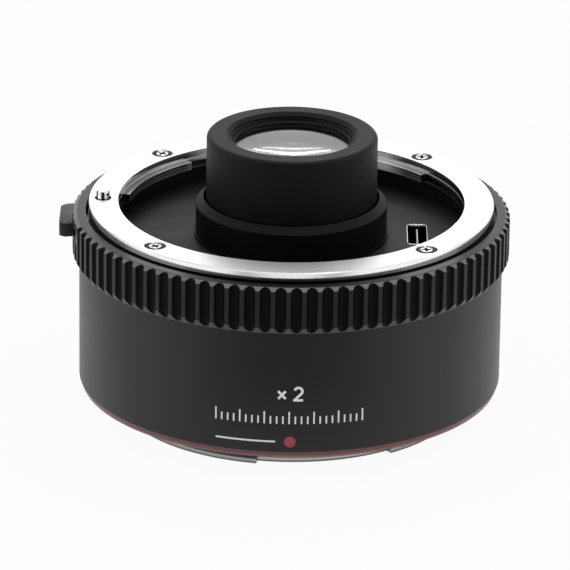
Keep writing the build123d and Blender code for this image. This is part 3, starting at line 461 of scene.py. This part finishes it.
def rounded(corners, parts):
    """Points of a closed outline of (x, y, rounding), with its corners rounded off."""
    points = []
    count = len(corners)
    for index, (x, y, rounding) in enumerate(corners):
        here = Vector((x, y))
        if not rounding:
            points.append(here)
            continue
        before = Vector(corners[index - 1][:2]) - here
        after = Vector(corners[(index + 1) % count][:2]) - here
        start = here + before.normalized() * min(rounding, before.length / 2)
        stop = here + after.normalized() * min(rounding, after.length / 2)
        for step in range(parts + 1):
            share = step / parts
            points.append(start * (1 - share) ** 2 + here * 2 * share * (1 - share) + stop * share**2)
    return points


def finish_mesh(form, name, sharp=40):
    """Turns a bmesh in millimetres into a smooth mesh in metres with its sharp edges kept."""
    bmesh.ops.recalc_face_normals(form, faces=form.faces)
    bmesh.ops.scale(form, vec=(MM, MM, MM), verts=form.verts)
    mesh = bpy.data.meshes.new(name)
    form.to_mesh(mesh)
    form.free()
    mesh.shade_smooth()
    mesh.set_sharp_from_angle(angle=math.radians(sharp))
    return mesh


def loops(form, rings, joined=True):
    """Faces between neighbouring rings of points, and between the last and the first if joined."""
    made = [[form.verts.new(point) for point in ring] for ring in rings]
    pairs = list(zip(made, made[1:]))
    if joined:
        pairs.append((made[-1], made[0]))
    for first, second in pairs:
        for index in range(len(first)):
            after = (index + 1) % len(first)
            form.faces.new((first[index], first[after], second[after], second[index]))
    return made


def turned(form, outline, sides, middle):
    """Adds a ring turned about a vertical axis from a closed outline of (radius, height)."""
    shift = Vector((*middle, 0))
    turns = [360 * side / sides for side in range(sides)]
    loops(form, [[place(radius, turn, height) + shift for radius, height in outline] for turn in turns])


def add_object(name, data):
    made = bpy.data.objects.new(name, data)
    bpy.context.scene.collection.objects.link(made)
    return made


def piece(mesh, *materials, slot, body="converter", stands_for=()):
    """An object of the model that rides on a body."""
    made = add_object(mesh.name, mesh)
    for material in materials:
        mesh.materials.append(material)
    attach(made, body)
    if stands_for:
        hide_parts(*stands_for)
    return made


def ribbon(form, points, width, radius, lift):
    """A raised stroke on a cylinder through points of (run, height), both in millimetres."""
    path = [Vector(point) for point in points]
    sides = []
    for index, here in enumerate(path):
        before = (here - path[index - 1]).normalized() if index else None
        after = (path[index + 1] - here).normalized() if index + 1 < len(path) else None
        along = ((before or after) + (after or before)).normalized()
        across = Vector((-along.y, along.x))
        stretch = 1 / max(0.5, along.dot(after or before))
        sides.append((here - across * width / 2 * stretch, here + across * width / 2 * stretch))
    rings = []
    for left, right in sides:
        ring = []
        for point, height in ((left, -0.02), (left, lift), (right, lift), (right, -0.02)):
            turn = -90 + math.degrees(point.x / radius)
            ring.append(place(radius + height, turn, point.y))
        rings.append(ring)
    made = loops(form, rings, joined=False)
    form.faces.new(made[0])
    form.faces.new(reversed(made[-1]))


def divided(start, stop):
    """Points on a straight stroke, near enough for it to follow the cylinder."""
    start, stop = Vector(start), Vector(stop)
    count = max(1, math.ceil((stop - start).length / MARK_STEP))
    return [start.lerp(stop, index / count) for index in range(count + 1)]


# What a designer may change


class CONVERTER_PG_finish(bpy.types.PropertyGroup):
    """One finish: its colour, gloss and grain"""

    colour: bpy.props.FloatVectorProperty(
        name="Colour",
        description="Base colour, linear",
        subtype="COLOR",
        size=3,
        default=(0.02, 0.02, 0.02),
        min=0,
        max=1,
    )
    roughness: bpy.props.FloatProperty(
        name="Roughness", description="Its middle", subtype="FACTOR", default=0.4, min=0, max=1
    )
    variation: bpy.props.FloatProperty(
        name="Variation", description="Wandering of roughness", subtype="FACTOR", default=0.04, min=0, max=1
    )
    metallic: bpy.props.FloatProperty(
        name="Metallic", description="How metallic it is", subtype="FACTOR", default=0.0, min=0, max=1
    )
    specular: bpy.props.FloatProperty(
        name="Specular", description="Plain reflection", subtype="FACTOR", default=0.5, min=0, max=1
    )
    patch: bpy.props.FloatProperty(
        name="Patch", description="Size of the soft patches, in mm", default=6.0, min=0.01
    )
    grain: bpy.props.FloatProperty(
        name="Grain", description="Size of the fine grain, in mm", default=0.12, min=0.01
    )
    relief: bpy.props.FloatProperty(
        name="Relief", description="Depth of the grain, in mm", default=0.004, min=0
    )


class CONVERTER_PG_stage(bpy.types.PropertyGroup):
    """The camera, the light and the floor"""

    distance: bpy.props.FloatProperty(
        name="Distance",
        description="From the front flange to the camera",
        unit="LENGTH",
        default=0.91868,
        min=0.1,
    )
    elevation: bpy.props.FloatProperty(
        name="Elevation",
        description="Camera's height above the flange's plane",
        subtype="ANGLE",
        default=math.radians(20.428),
    )
    roll: bpy.props.FloatProperty(
        name="Roll",
        description="Camera's turn about its own axis",
        subtype="ANGLE",
        default=math.radians(0.759),
    )
    focal: bpy.props.FloatProperty(
        name="Focal length", description="Lens of the camera, in mm", default=352.7, min=20, max=1000
    )
    fill: bpy.props.FloatProperty(
        name="Fill", description="Even light of the surroundings", default=0.6, min=0
    )
    key: bpy.props.FloatProperty(
        name="Key", description="Power of the upper lamp", unit="POWER", default=1.6, min=0
    )
    side: bpy.props.FloatProperty(
        name="Side", description="Power of the side lamps", unit="POWER", default=1.0, min=0
    )
    back: bpy.props.FloatProperty(
        name="Back", description="Power of the rear lamp", unit="POWER", default=2.0, min=0
    )
    bars: bpy.props.FloatProperty(
        name="Bars", description="Strength of the two curved light bars", default=9.0, min=0
    )
    front: bpy.props.FloatProperty(
        name="Front",
        description="How bright the room is in front, as gloss shows it",
        subtype="FACTOR",
        default=0.12,
        min=0,
        max=1,
    )


def finish_pointer(name, description):
    return bpy.props.PointerProperty(name=name, description=description, type=CONVERTER_PG_finish)


class CONVERTER_PG_settings(bpy.types.PropertyGroup):
    """Everything that the operators read"""

    shell: finish_pointer("Shell", "Black paint of the shell")
    grip: finish_pointer("Grip", "Black of the grip ring")
    barrel: finish_pointer("Barrel", "Black of the barrel")
    thumb: finish_pointer("Thumb", "Black of the release")
    base: finish_pointer("Base", "Black of the barrel's base")
    matt: finish_pointer("Matt", "Dull black of the baffles")
    chassis: finish_pointer("Chassis", "Black of the chassis")
    red: finish_pointer("Red", "Red of the trim ring")
    dot: finish_pointer("Dot", "Red of the index dot")
    chrome: finish_pointer("Chrome", "Bayonets")
    steel: finish_pointer("Steel", "Screws and springs")
    alloy: finish_pointer("Alloy", "Cast frame")
    plastic: finish_pointer("Plastic", "Contact blocks")
    gold: finish_pointer("Gold", "Contacts")
    board: finish_pointer("Board", "Circuit board")
    chip: finish_pointer("Chip", "Controller chip")
    socket: finish_pointer("Connectors", "Connectors")
    flex: finish_pointer("Flex", "Flexible circuits")
    glass: finish_pointer("Glass", "Lenses")
    depth: finish_pointer("Depth", "Inner lenses")
    marking: finish_pointer("Marking", "White marks")
    polish: finish_pointer("Polish", "Polished edges")
    stage: bpy.props.PointerProperty(name="Stage", description="Camera and light", type=CONVERTER_PG_stage)


# Values of the finishes in the order of the keys
FINISH_KEYS = ("colour", "roughness", "variation", "metallic", "specular", "patch", "grain", "relief")
FINISHES = {
    "shell": ((0.0062, 0.0062, 0.0064), 0.43, 0.03, 0.0, 0.4, 9.0, 0.1, 0.005),
    "grip": ((0.013, 0.013, 0.0132), 0.42, 0.03, 0.0, 0.28, 5.0, 0.09, 0.003),
    "thumb": ((0.006, 0.006, 0.0062), 0.4, 0.03, 0.0, 0.32, 5.0, 0.09, 0.003),
    "barrel": ((0.0065, 0.0065, 0.0065), 0.5, 0.03, 0.0, 0.14, 6.0, 0.08, 0.003),
    "base": ((0.0045, 0.0045, 0.0045), 0.5, 0.03, 0.0, 0.12, 6.0, 0.08, 0.003),
    "matt": ((0.002, 0.002, 0.002), 0.55, 0.05, 0.0, 0.27, 4.0, 0.1, 0.006),
    "chassis": ((0.003, 0.003, 0.003), 0.4, 0.05, 0.0, 0.3, 4.0, 0.1, 0.003),
    "red": ((0.19, 0.078, 0.083), 0.4, 0.05, 0.15, 0.3, 3.0, 0.1, 0.003),
    "dot": ((0.42, 0.07, 0.09), 0.5, 0.05, 0.0, 0.4, 1.0, 0.08, 0.003),
    "chrome": ((0.93, 0.93, 0.935), 0.13, 0.02, 1.0, 0.5, 9.0, 0.1, 0.0003),
    "steel": ((0.36, 0.36, 0.37), 0.3, 0.05, 1.0, 0.5, 2.0, 0.08, 0.001),
    "alloy": ((0.42, 0.42, 0.43), 0.5, 0.06, 1.0, 0.5, 4.0, 0.3, 0.01),
    "plastic": ((0.02, 0.02, 0.02), 0.5, 0.05, 0.0, 0.5, 2.0, 0.1, 0.004),
    "gold": ((0.83, 0.6, 0.24), 0.28, 0.05, 1.0, 0.5, 1.0, 0.05, 0.001),
    "board": ((0.02, 0.11, 0.04), 0.45, 0.06, 0.0, 0.5, 3.0, 0.15, 0.004),
    "chip": ((0.02, 0.02, 0.022), 0.6, 0.05, 0.0, 0.4, 1.0, 0.08, 0.004),
    "socket": ((0.7, 0.68, 0.62), 0.5, 0.05, 0.0, 0.5, 1.5, 0.1, 0.003),
    "flex": ((0.35, 0.14, 0.03), 0.4, 0.05, 0.0, 0.5, 2.0, 0.1, 0.002),
    "glass": ((0.44, 0.45, 0.455), 0.0, 0.01, 0.0, 0.5, 5.0, 0.1, 0.0),
    "depth": ((0.2, 0.2, 0.21), 0.0, 0.01, 0.0, 0.5, 5.0, 0.1, 0.0),
    "marking": ((0.95, 0.95, 0.95), 0.5, 0.05, 0.0, 0.4, 0.8, 0.06, 0.002),
    "polish": ((0.95, 0.95, 0.95), 0.08, 0.02, 1.0, 0.5, 1.0, 0.05, 0.0001),
}


def settings():
    return bpy.context.scene.converter


def set_defaults():
    for name, values in FINISHES.items():
        finish = getattr(settings(), name)
        for key, value in zip(FINISH_KEYS, values):
            setattr(finish, key, value)


def paint(names, material):
    """Gives CAD nodes a material in all their slots."""
    for name in names:
        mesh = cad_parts[name].data
        mesh.materials.clear()
        mesh.materials.append(material)


# Operators


class ConverterOperator:
    """What all operators share"""

    bl_options = {"REGISTER", "UNDO"}

    def execute(self, context):
        self.build(settings())
        return {"FINISHED"}


class CONVERTER_OT_shell(ConverterOperator, bpy.types.Operator):
    """Paint the shell, the red ring and the index dot"""

    bl_idname = "converter.shell"
    bl_label = "Shell"

    def build(self, values):
        paint(["body_shell"], coated("shell_paint", values.shell))
        red = coated("red_anodising", values.red)
        lower_rim = {HEIGHT: (-1, 0.8)}
        paint(["red_trim_ring"], zone(red, lower_rim, (0.24, 0.135, 0.135)))
        paint(["rear_index_dot"], coated("red_enamel", values.dot, 0.9))


class CONVERTER_OT_marks(ConverterOperator, bpy.types.Operator):
    """Print the plain white marks on the shell"""

    bl_idname = "converter.marks"
    bl_label = "Marks"

    def build(self, values):
        form = bmesh.new()
        self.stroke(form, [*self.numeral_top(), NUMERAL_CORNER], NUMERAL_SHIFT)
        self.stroke(form, divided(*NUMERAL_FOOT), NUMERAL_SHIFT)
        low, high = CROSS_HEIGHTS
        self.stroke(form, divided((-CROSS_RUN, high), (CROSS_RUN, low)), CROSS_SHIFT)
        self.stroke(form, divided((-CROSS_RUN, low), (CROSS_RUN, high)), CROSS_SHIFT)
        for tick in TICKS:
            height = LONG_TICK if tick % 4 == 0 else SHORT_TICK
            line = divided((tick, TICK_FOOT), (tick, TICK_FOOT + height))
            self.stroke(form, line, TICK_SHIFT, TICK_WIDTH)
        self.stroke(form, divided(*MARK_BAR), 0, MARK_BAR_WIDTH)
        white = coated("marking_white", values.marking, 0.94)
        piece(finish_mesh(form, "shell_marks"), white, slot="body_paint")

    def numeral_top(self):
        """Points of the numeral's round top."""
        start, stop = NUMERAL_TURNS
        points = []
        for step in range(NUMERAL_STEPS + 1):
            turn = math.radians(start + (stop - start) * step / NUMERAL_STEPS)
            run, rise = NUMERAL_RADIUS * math.cos(turn), NUMERAL_RADIUS * math.sin(turn)
            points.append((run, NUMERAL_MIDDLE + rise))
        return points

    def stroke(self, form, points, shift, width=MARK_WIDTH):
        ribbon(form, [(point[0] + shift, point[1]) for point in points], width, SHELL, MARK_LIFT)


class CONVERTER_OT_grip(ConverterOperator, bpy.types.Operator):
    """Dress the grip ring and model the release's thumb piece"""

    bl_idname = "converter.grip"
    bl_label = "Grip ring and release"

    def build(self, values):
        paint(["grip_ring"], self.grip_look(values.grip))
        form = bmesh.new()
        inner = [place(GRIP + 0.06, azimuth, 0) for azimuth in THUMB_AZIMUTHS]
        outline = inner + [Vector((*point, 0)) for point in rounded(THUMB_CORNERS, 6)]
        bottom = [form.verts.new(point + Vector((0, 0, THUMB_BOTTOM))) for point in outline]
        top = [form.verts.new(point + Vector((0, 0, THUMB_TOP))) for point in outline]
        form.faces.new(reversed(bottom))
        form.faces.new(top)
        for index in range(len(outline)):
            after = (index + 1) % len(outline)
            form.faces.new((bottom[index], bottom[after], top[after], top[index]))
        edges = [edge for edge in form.edges if abs(edge.verts[0].co.z - edge.verts[1].co.z) < 0.01]
        bmesh.ops.bevel(form, geom=edges, offset=THUMB_BEVEL, segments=3, profile=0.5, affect="EDGES")
        thumb = finish_mesh(form, "thumb_piece")
        look = coated("thumb_paint", values.thumb)
        piece(thumb, look, body="release", stands_for=["release_thumb_piece"], slot="grip_paint")

    def grip_look(self, values):
        """Black, with painted shade between its lands, painted highlights on the lands' edges and chamfers,
        and a smoother top on the lands darkened by painted shade.
        """
        look = coated("grip_paint", values)
        shaded_grooves = {RADIUS: (0, 35.9)}
        edges = {RADIUS: (35.88, 35.97)}
        upper = {UPPER_CHAMFER: (41.9, 45)}
        lower = {LOWER_CHAMFER: (22.16, 25)}
        top = {HEIGHT: (30.0, 31)}
        # Painted shade: the grooves are darker and reflect less, as if shaded between the lands
        zone(look, shaded_grooves, grey(0.0012), **{SPECULAR: 0.1})
        # Painted highlight: a lighter strip along each land's edge
        zone(look, edges, grey(0.05))
        # Painted highlights: lighter upper and lower chamfers on the lands
        zone(look, upper, grey(0.13), **{SPECULAR: 0.5})
        zone(look, lower, grey(0.05), **{SPECULAR: 0.5})
        # Painted shade: a darker top on the lands, which is also smoother
        return zone(look, top, grey(0.002), Roughness=0.16, **{SPECULAR: 0.25})


class CONVERTER_OT_socket(ConverterOperator, bpy.types.Operator):
    """Dress both bayonets and the lock pin, and model the flange's screws"""

    bl_idname = "converter.socket"
    bl_label = "Bayonets"

    def build(self, values):
        paint(["front_mount_ring"], brushed(self.front_look(values.chrome), 0.8))
        pin = turned_metal("pin_chrome", values.chrome)
        # Painted reflection: dark streaks down the lock pin's side
        for streak in PIN_PAINTED_REFLECTIONS:
            zone(pin, {HEIGHT: PIN_SIDE, ACROSS: streak}, grey(0.02), soft=0.06)
        paint(["lock_pin"], pin)
        rear = turned_metal("rear_chrome", values.chrome)
        painted_reflection_below_face = {HEIGHT: (-10, 0.2)}
        rear_groove_shade = {HEIGHT: (-3.7, -3.3)}
        # Painted dark reflection: the chrome below the face is greyed and streaky
        zone(rear, painted_reflection_below_face, grey(0.24), (0.3, 0.8))
        # Painted shade: a darker band in the groove
        paint(["rear_mount_ring"], zone(rear, rear_groove_shade, grey(0.12)))
        paint(["front_chassis"], coated("chassis_black", values.chassis))
        heads = bmesh.new()
        for azimuth in SCREW_AZIMUTHS:
            self.head(heads, place(SCREW_CIRCLE, azimuth, 0), azimuth)
            for side in (0, 180):
                self.shade(heads, place(SCREW_CIRCLE, azimuth, FRONT - 0.03), side)
        mesh = finish_mesh(heads, "flange_screws", 30)
        # The second look is black painted shade, for the deep recesses and the arcs beside the heads
        looks = (turned_metal("screw_steel", values.polish), coated("recess_black", values.base))
        piece(mesh, *looks, stands_for=["front_mount_screws"], slot="screw_steel")
        # Painted shade: a thin black ring laid on the flange's face around the lock pin, where its hole
        # shades
        gap = bmesh.new()
        inner, outer = PIN_SHADE_RADII
        rim = [(inner, FRONT), (inner, FRONT + 0.01), (outer, FRONT + 0.01), (outer, FRONT)]
        turned(gap, rim, 64, (PIN_PLACE, 0))
        piece(finish_mesh(gap, "pin_gap"), coated("gap_black", values.base), slot="chassis_black")

    def front_look(self, values):
        """Chrome with a satin face, a socket wall darkened by a painted dark reflection and lit beside the
        barrel by a painted reflection, and painted highlights on its edges.
        """
        chrome = turned_metal("mount_chrome", values, FRONT - 0.05)
        wall = (20, FRONT - 0.12)
        painted_reflection_beside_barrel = {HEIGHT: wall, RADIUS: (0, 29), ACROSS: (-16.4, 17.5)}
        painted_highlight_inner_edge = {HEIGHT: (30.08, 30.3), RADIUS: (27.3, 27.62)}
        painted_highlight_outer_edge = {HEIGHT: (30.3, 30.56), RADIUS: (28.3, 28.7)}
        face = {HEIGHT: (FRONT - 0.02, FRONT + 1), RADIUS: (28, 34)}
        # Painted dark reflection: a darker, streaky socket wall
        zone(chrome, {HEIGHT: wall, RADIUS: (0, 33)}, grey(0.05), (0.22, 0.35))
        # Painted reflection: a pale, non-metallic patch on the wall beside the barrel
        zone(chrome, painted_reflection_beside_barrel, grey(0.95), (0.3, 0.5), soft=1.6, Metallic=0.0)
        # Painted highlights: pale lines along the socket's inner and outer edges
        zone(chrome, painted_highlight_inner_edge, grey(0.9))
        zone(chrome, painted_highlight_outer_edge, grey(0.95), Metallic=0.0)
        return zone(chrome, face, grey(0.95), Metallic=0.8)

    def shade(self, form, middle, side):
        """A thin arc of painted shade on one side of a screw's head."""
        inner, outer = ARC_RADII
        known = set(form.faces)
        rings = []
        for turn in range(side - ARC_HALF_SPAN, side + ARC_HALF_SPAN + 1, ARC_STEP):
            rim = [(inner, 0), (outer, 0), (outer, ARC_HEIGHT), (inner, ARC_HEIGHT)]
            rings.append([place(radius, turn, rise) + middle for radius, rise in rim])
        made = loops(form, rings, joined=False)
        form.faces.new(made[0])
        form.faces.new(reversed(made[-1]))
        for face in form.faces:
            if face not in known:
                face.material_index = 1

    def head(self, form, middle, azimuth):
        """A raised middle with a cross recess at its own angle, in the flange's countersink; the recess's
        deep part is painted black as shade.
        """
        reach, half = RECESS_REACH, RECESS_HALF
        upper = [(half, half), (half, reach), (-half, reach), (-half, half), (-reach, half), (-reach, -half)]
        cross = upper + [(-x, -y) for x, y in upper]
        spin = math.radians(azimuth * RECESS_TURN + RECESS_START)
        circle = []
        for x, y in cross:
            turn = math.atan2(y, x)
            circle.append((HEAD_RADIUS * math.cos(turn), HEAD_RADIUS * math.sin(turn)))
        rings = []
        levels = [(circle, *level) for level in HEAD_RINGS] + [(cross, *level) for level in RECESS_RINGS]
        for points, share, depth in levels:
            ring = []
            for x, y in points:
                flat = Vector((x * share, y * share))
                flat.rotate(Matrix.Rotation(spin, 2))
                ring.append(Vector((flat.x + middle.x, flat.y + middle.y, FRONT - depth)))
            rings.append(ring)
        known = set(form.faces)
        loops(form, rings, joined=False)
        for face in form.faces:
            # Painted shade: the recess's deep faces take the black second look
            if face not in known and min(vertex.co.z for vertex in face.verts) < FRONT - SHADE_DEPTH:
                face.material_index = 1


class CONVERTER_OT_slot(ConverterOperator, bpy.types.Operator):
    """Model the polished rim of the floor's slot"""

    bl_idname = "converter.slot"
    bl_label = "Slot rim"

    def build(self, values):
        signs = ((1, -1), (1, 1), (-1, 1), (-1, -1))
        path = rounded([(x * SLOT_HALF_WIDTH, y * SLOT_HALF_LENGTH, SLOT_ROUNDING) for x, y in signs], 8)
        form = bmesh.new()
        rings = []
        for index, here in enumerate(path):
            along = (path[(index + 1) % len(path)] - path[index - 1]).normalized()
            outward = Vector((along.y, -along.x, 0))
            foot = Vector((SLOT_CENTRE + here.x, here.y, FLOOR))
            rings.append([foot + outward * shift + Vector((0, 0, rise)) for shift, rise in RIM_PROFILE])
        loops(form, rings)
        polish = turned_metal("rim_polish", values.polish)
        piece(finish_mesh(form, "slot_rim", 60), polish, slot="blade_metal")


class CONVERTER_OT_barrel(ConverterOperator, bpy.types.Operator):
    """Dress the barrel, its rings, the baffles, the slot's blade and the lenses"""

    bl_idname = "converter.barrel"
    bl_label = "Barrel and lenses"

    def build(self, values):
        paint(["front_barrel"], coated("barrel_black", values.barrel))
        base = coated("base_black", values.base)
        shaded_bore = {RADIUS: (0, 14.5)}
        # Painted shade: the bore is darker and has no plain reflection
        paint(["barrel_base_ring"], zone(base, shaded_bore, grey(0.0005), **{SPECULAR: 0.0}))
        paint(["front_retaining_ring", "rear_retaining_ring"], coated("ring_black", values.base))
        paint(["lens_1"], glass("front_glass", values.glass))
        paint(LENSES[1:], glass("inner_glass", values.depth))
        paint(BAFFLES, coated("baffle_black", values.matt))
        paint(["slot_blade"], coated("blade_metal", values.steel))


class CONVERTER_OT_inside(ConverterOperator, bpy.types.Operator):
    """Give the inner pieces their materials"""

    bl_idname = "converter.inside"
    bl_label = "Inner pieces"

    def build(self, values):
        paint(SPRINGS + SCREWS, coated("steel", values.steel))
        paint(["main_frame"], coated("frame_alloy", values.alloy))
        paint(["front_contact_block", "rear_contact_block"], coated("contact_plastic", values.plastic))
        paint(PINS + ("rear_contact_pads",), coated("contact_gold", values.gold))
        paint(["circuit_board"], coated("board_green", values.board))
        paint(["controller_chip"], coated("chip_black", values.chip))
        paint(["board_connectors"], coated("connector_white", values.socket))
        paint(["front_flex", "rear_flex"], coated("flex_amber", values.flex))


class CONVERTER_OT_springs(ConverterOperator, bpy.types.Operator):
    """Make the springs as pieces: one for each contact pin, one for the lock pin and one for the release"""

    bl_idname = "converter.springs"
    bl_label = "Springs"

    def build(self, values):
        steel = coated("coil_steel", values.steel)
        up = (0, 0, 1)
        low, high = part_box("lock_pin_spring")
        share = 1 - LOCK_TRAVEL * MM / (high[2] - low[2])
        self.spring("lock_pin_spring", "lock_pin_coil", steel, "lock_pin_slide", up, low, share)
        low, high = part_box("contact_springs")
        share = 1 - PIN_TRAVEL * MM / (high[2] - low[2])
        middles = {pin: (Vector(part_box(pin)[0]) + Vector(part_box(pin)[1])).xy / 2 for pin in PINS}
        points = [vertex.co.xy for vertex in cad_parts["contact_springs"].data.vertices]
        owners = [min(middles, key=lambda pin: (point - middles[pin]).length_squared) for point in points]
        for pin in PINS:
            others = {index for index, owner in enumerate(owners) if owner != pin}
            self.spring("contact_springs", f"{pin}_coil", steel, f"{pin}_slide", up, low, share, others)
        along = place(1, RELEASE_COIL_AZIMUTH + 90, 0)
        middle = place(RELEASE_COIL_RADIUS, RELEASE_COIL_AZIMUTH, RELEASE_COIL_HEIGHT)
        far = (middle + along * RELEASE_COIL_LENGTH / 2) * MM
        travel = RELEASE_COIL_RADIUS * math.sin(math.radians(RELEASE_TRAVEL))
        share = 1 - RELEASE_COIL_SLACK - travel / RELEASE_COIL_LENGTH
        self.spring("release_spring", "release_coil", steel, "lens_release", along, far, share)

    def spring(self, source, name, material, joint, axis, anchor, share, others=()):
        """A copy of a node without some of its points, as a piece standing for the node; the joint, axis,
        anchor and share are not used.
        """
        form = bmesh.new()
        form.from_mesh(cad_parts[source].data)
        gone = [vertex for vertex in form.verts if vertex.index in others]
        bmesh.ops.delete(form, geom=gone, context="VERTS")
        mesh = bpy.data.meshes.new(name)
        form.to_mesh(mesh)
        form.free()
        made = piece(mesh, material, stands_for=[source], slot="spring_steel")
        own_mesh(made)


class CONVERTER_OT_stage(ConverterOperator, bpy.types.Operator):
    """Set up the floor, the light and the camera"""

    bl_idname = "converter.stage"
    bl_label = "Stage"

    def build(self, values):
        stage = values.stage
        self.floor(stage.front)
        self.surroundings(stage.fill, stage.front)
        self.lamps(stage)
        self.bars(stage.bars)
        self.camera(stage)
        bpy.context.scene.view_settings.view_transform = "Standard"

    def floor(self, front):
        """White and even for the camera and glass, darker close in front for gloss, with a soft shadow."""
        reach = FLOOR_REACH
        low = cad_box[0][2]
        mesh = bpy.data.meshes.new("floor")
        corners = [(-reach, -reach, low), (reach, -reach, low), (reach, reach, low), (-reach, reach, low)]
        mesh.from_pydata(corners, [], [(0, 1, 2, 3)])
        floor = add_object("floor", mesh)
        material, tree, shader = new_material("floor_white")
        point = object_point(tree)
        cloud = noise(tree, point, 400.0)
        shade = blend_colours(tree, spread(tree, cloud, 0, 1), grey(0.89), grey(0.91))
        tree.links.new(shade, shader.inputs["Base Color"])
        shader.inputs["Roughness"].default_value = 0.9
        shader.inputs[SPECULAR].default_value = 0.0
        x, y, _ = axes(tree, point)
        across = node(tree, "ShaderNodeMath", operation="ABSOLUTE")
        tree.links.new(x, across.inputs[0])
        aside = ramp(tree, across.outputs[0], PATCH_ASIDE, 0, 1)
        behind = ramp(tree, y, PATCH_BEHIND, 0, 1)
        before = ramp(tree, y, PATCH_BEFORE, 1, 0)
        away = maths(tree, "MAXIMUM", maths(tree, "MAXIMUM", aside, behind), before)
        rays = node(tree, "ShaderNodeLightPath").outputs
        straight = maths(tree, "MAXIMUM", rays["Is Camera Ray"], rays["Is Transmission Ray"])
        glossy = maths(tree, "MULTIPLY", rays["Is Glossy Ray"], ramp(tree, away, (0, 1), front, 1))
        glow = node(tree, "ShaderNodeEmission")
        tree.links.new(maths(tree, "MAXIMUM", straight, glossy), glow.inputs["Strength"])
        share = scaled(tree, maths(tree, "MAXIMUM", straight, rays["Is Glossy Ray"]), FLOOR_GLOW)
        lit = blend_shaders(tree, share, shader.outputs[0], glow.outputs[0])
        tree.links.new(lit, tree.nodes["Material Output"].inputs["Surface"])
        mesh.materials.append(material)

    def surroundings(self, fill, front):
        """Even light for surfaces; white with a darker front for gloss; white for the camera and glass."""
        world = bpy.data.worlds.new("surroundings")
        bpy.context.scene.world = world
        world.use_nodes = True
        tree = world.node_tree
        tree.nodes.clear()
        rays = node(tree, "ShaderNodeLightPath").outputs
        direction = node(tree, "ShaderNodeTexCoord").outputs["Generated"]
        even = node(tree, "ShaderNodeBackground")
        even.inputs["Strength"].default_value = fill
        mirrored = node(tree, "ShaderNodeBackground")
        level = ramp(tree, axes(tree, direction)[1], ROOM_FRONT, front, 1)
        tree.links.new(level, mirrored.inputs["Strength"])
        white = node(tree, "ShaderNodeBackground")
        shader = even.outputs[0]
        views = {"Is Glossy Ray": mirrored, "Is Transmission Ray": white, "Is Camera Ray": white}
        for ray, light in views.items():
            shader = blend_shaders(tree, rays[ray], shader, light.outputs[0])
        output = node(tree, "ShaderNodeOutputWorld")
        tree.links.new(shader, output.inputs["Surface"])

    def lamps(self, stage):
        for name, (spot, size, power) in LAMPS.items():
            lamp = bpy.data.lights.new(name, "AREA")
            lamp.size = size
            lamp.energy = getattr(stage, power)
            made = add_object(name, lamp)
            made.location = spot
            made.rotation_euler = (Vector(LAMP_TARGET) - Vector(spot)).to_track_quat("-Z", "Y").to_euler()

    def bars(self, strength):
        """Two thin curved light bars behind the converter, which its front lens mirrors."""
        corners, faces = [], []
        for middle, half, thick, drop in LIGHT_BARS:
            start = len(corners)
            for step in range(-LIGHT_BAR_STEPS, LIGHT_BAR_STEPS + 1):
                share = step / LIGHT_BAR_STEPS
                low = middle - drop * share**2
                high = low + thick * (1 - 0.5 * abs(share))
                corners += [(half * share, LIGHT_BARS_BEHIND, low), (half * share, LIGHT_BARS_BEHIND, high)]
            faces += [(at, at + 2, at + 3, at + 1) for at in range(start, start + 4 * LIGHT_BAR_STEPS, 2)]
        mesh = bpy.data.meshes.new("light_bars")
        mesh.from_pydata(corners, [], faces)
        made = add_object("light_bars", mesh)
        material, tree, shader = new_material("bar_glow")
        cloud = noise(tree, object_point(tree), 300.0)
        shade = blend_colours(tree, spread(tree, cloud, 0, 1), grey(0.98), grey(1))
        tree.links.new(shade, shader.inputs["Emission Color"])
        shader.inputs["Emission Strength"].default_value = strength
        mesh.materials.append(material)
        made.visible_camera = False

    def camera(self, stage):
        lens = bpy.data.cameras.new("camera")
        lens.lens = stage.focal
        lens.sensor_width = FILM_WIDTH
        lens.clip_start = CLIP_START
        camera = add_object("camera", lens)
        back = Vector((0, -math.cos(stage.elevation), math.sin(stage.elevation)))
        right = Vector((1, 0, 0))
        up = Vector((0, math.sin(stage.elevation), math.cos(stage.elevation)))
        pixels = stage.focal / FILM_WIDTH * PICTURE_WIDTH
        camera.location = Vector((0, 0, FRONT * MM)) + back * stage.distance
        aim = -back * pixels + right * AIM_RIGHT + up * AIM_UP
        turn = aim.to_track_quat("-Z", "Y")
        camera.rotation_mode = "QUATERNION"
        camera.rotation_quaternion = turn @ Quaternion((0, 0, 1), stage.roll)
        bpy.context.scene.camera = camera


class CONVERTER_PT_panel(bpy.types.Panel):
    """The converter's operators"""

    bl_label = "Converter"
    bl_idname = "CONVERTER_PT_panel"
    bl_space_type = "VIEW_3D"
    bl_region_type = "UI"
    bl_category = "Converter"

    def draw(self, context):
        for operator in OPERATORS:
            self.layout.operator(operator.bl_idname)


OPERATORS = (
    CONVERTER_OT_shell,
    CONVERTER_OT_marks,
    CONVERTER_OT_grip,
    CONVERTER_OT_socket,
    CONVERTER_OT_slot,
    CONVERTER_OT_barrel,
    CONVERTER_OT_inside,
    CONVERTER_OT_springs,
    CONVERTER_OT_stage,
)
GROUPS = (CONVERTER_PG_finish, CONVERTER_PG_stage, CONVERTER_PG_settings)
CLASSES = (*GROUPS, *OPERATORS, CONVERTER_PT_panel)


def register():
    for kind in CLASSES:
        bpy.utils.register_class(kind)
    bpy.types.Scene.converter = bpy.props.PointerProperty(type=CONVERTER_PG_settings)


def unregister():
    del bpy.types.Scene.converter
    for kind in reversed(CLASSES):
        bpy.utils.unregister_class(kind)


def main():
    register()
    set_defaults()
    for operator in OPERATORS:
        area, name = operator.bl_idname.split(".")
        getattr(getattr(bpy.ops, area), name)()


if __name__ == "__main__":
    main()
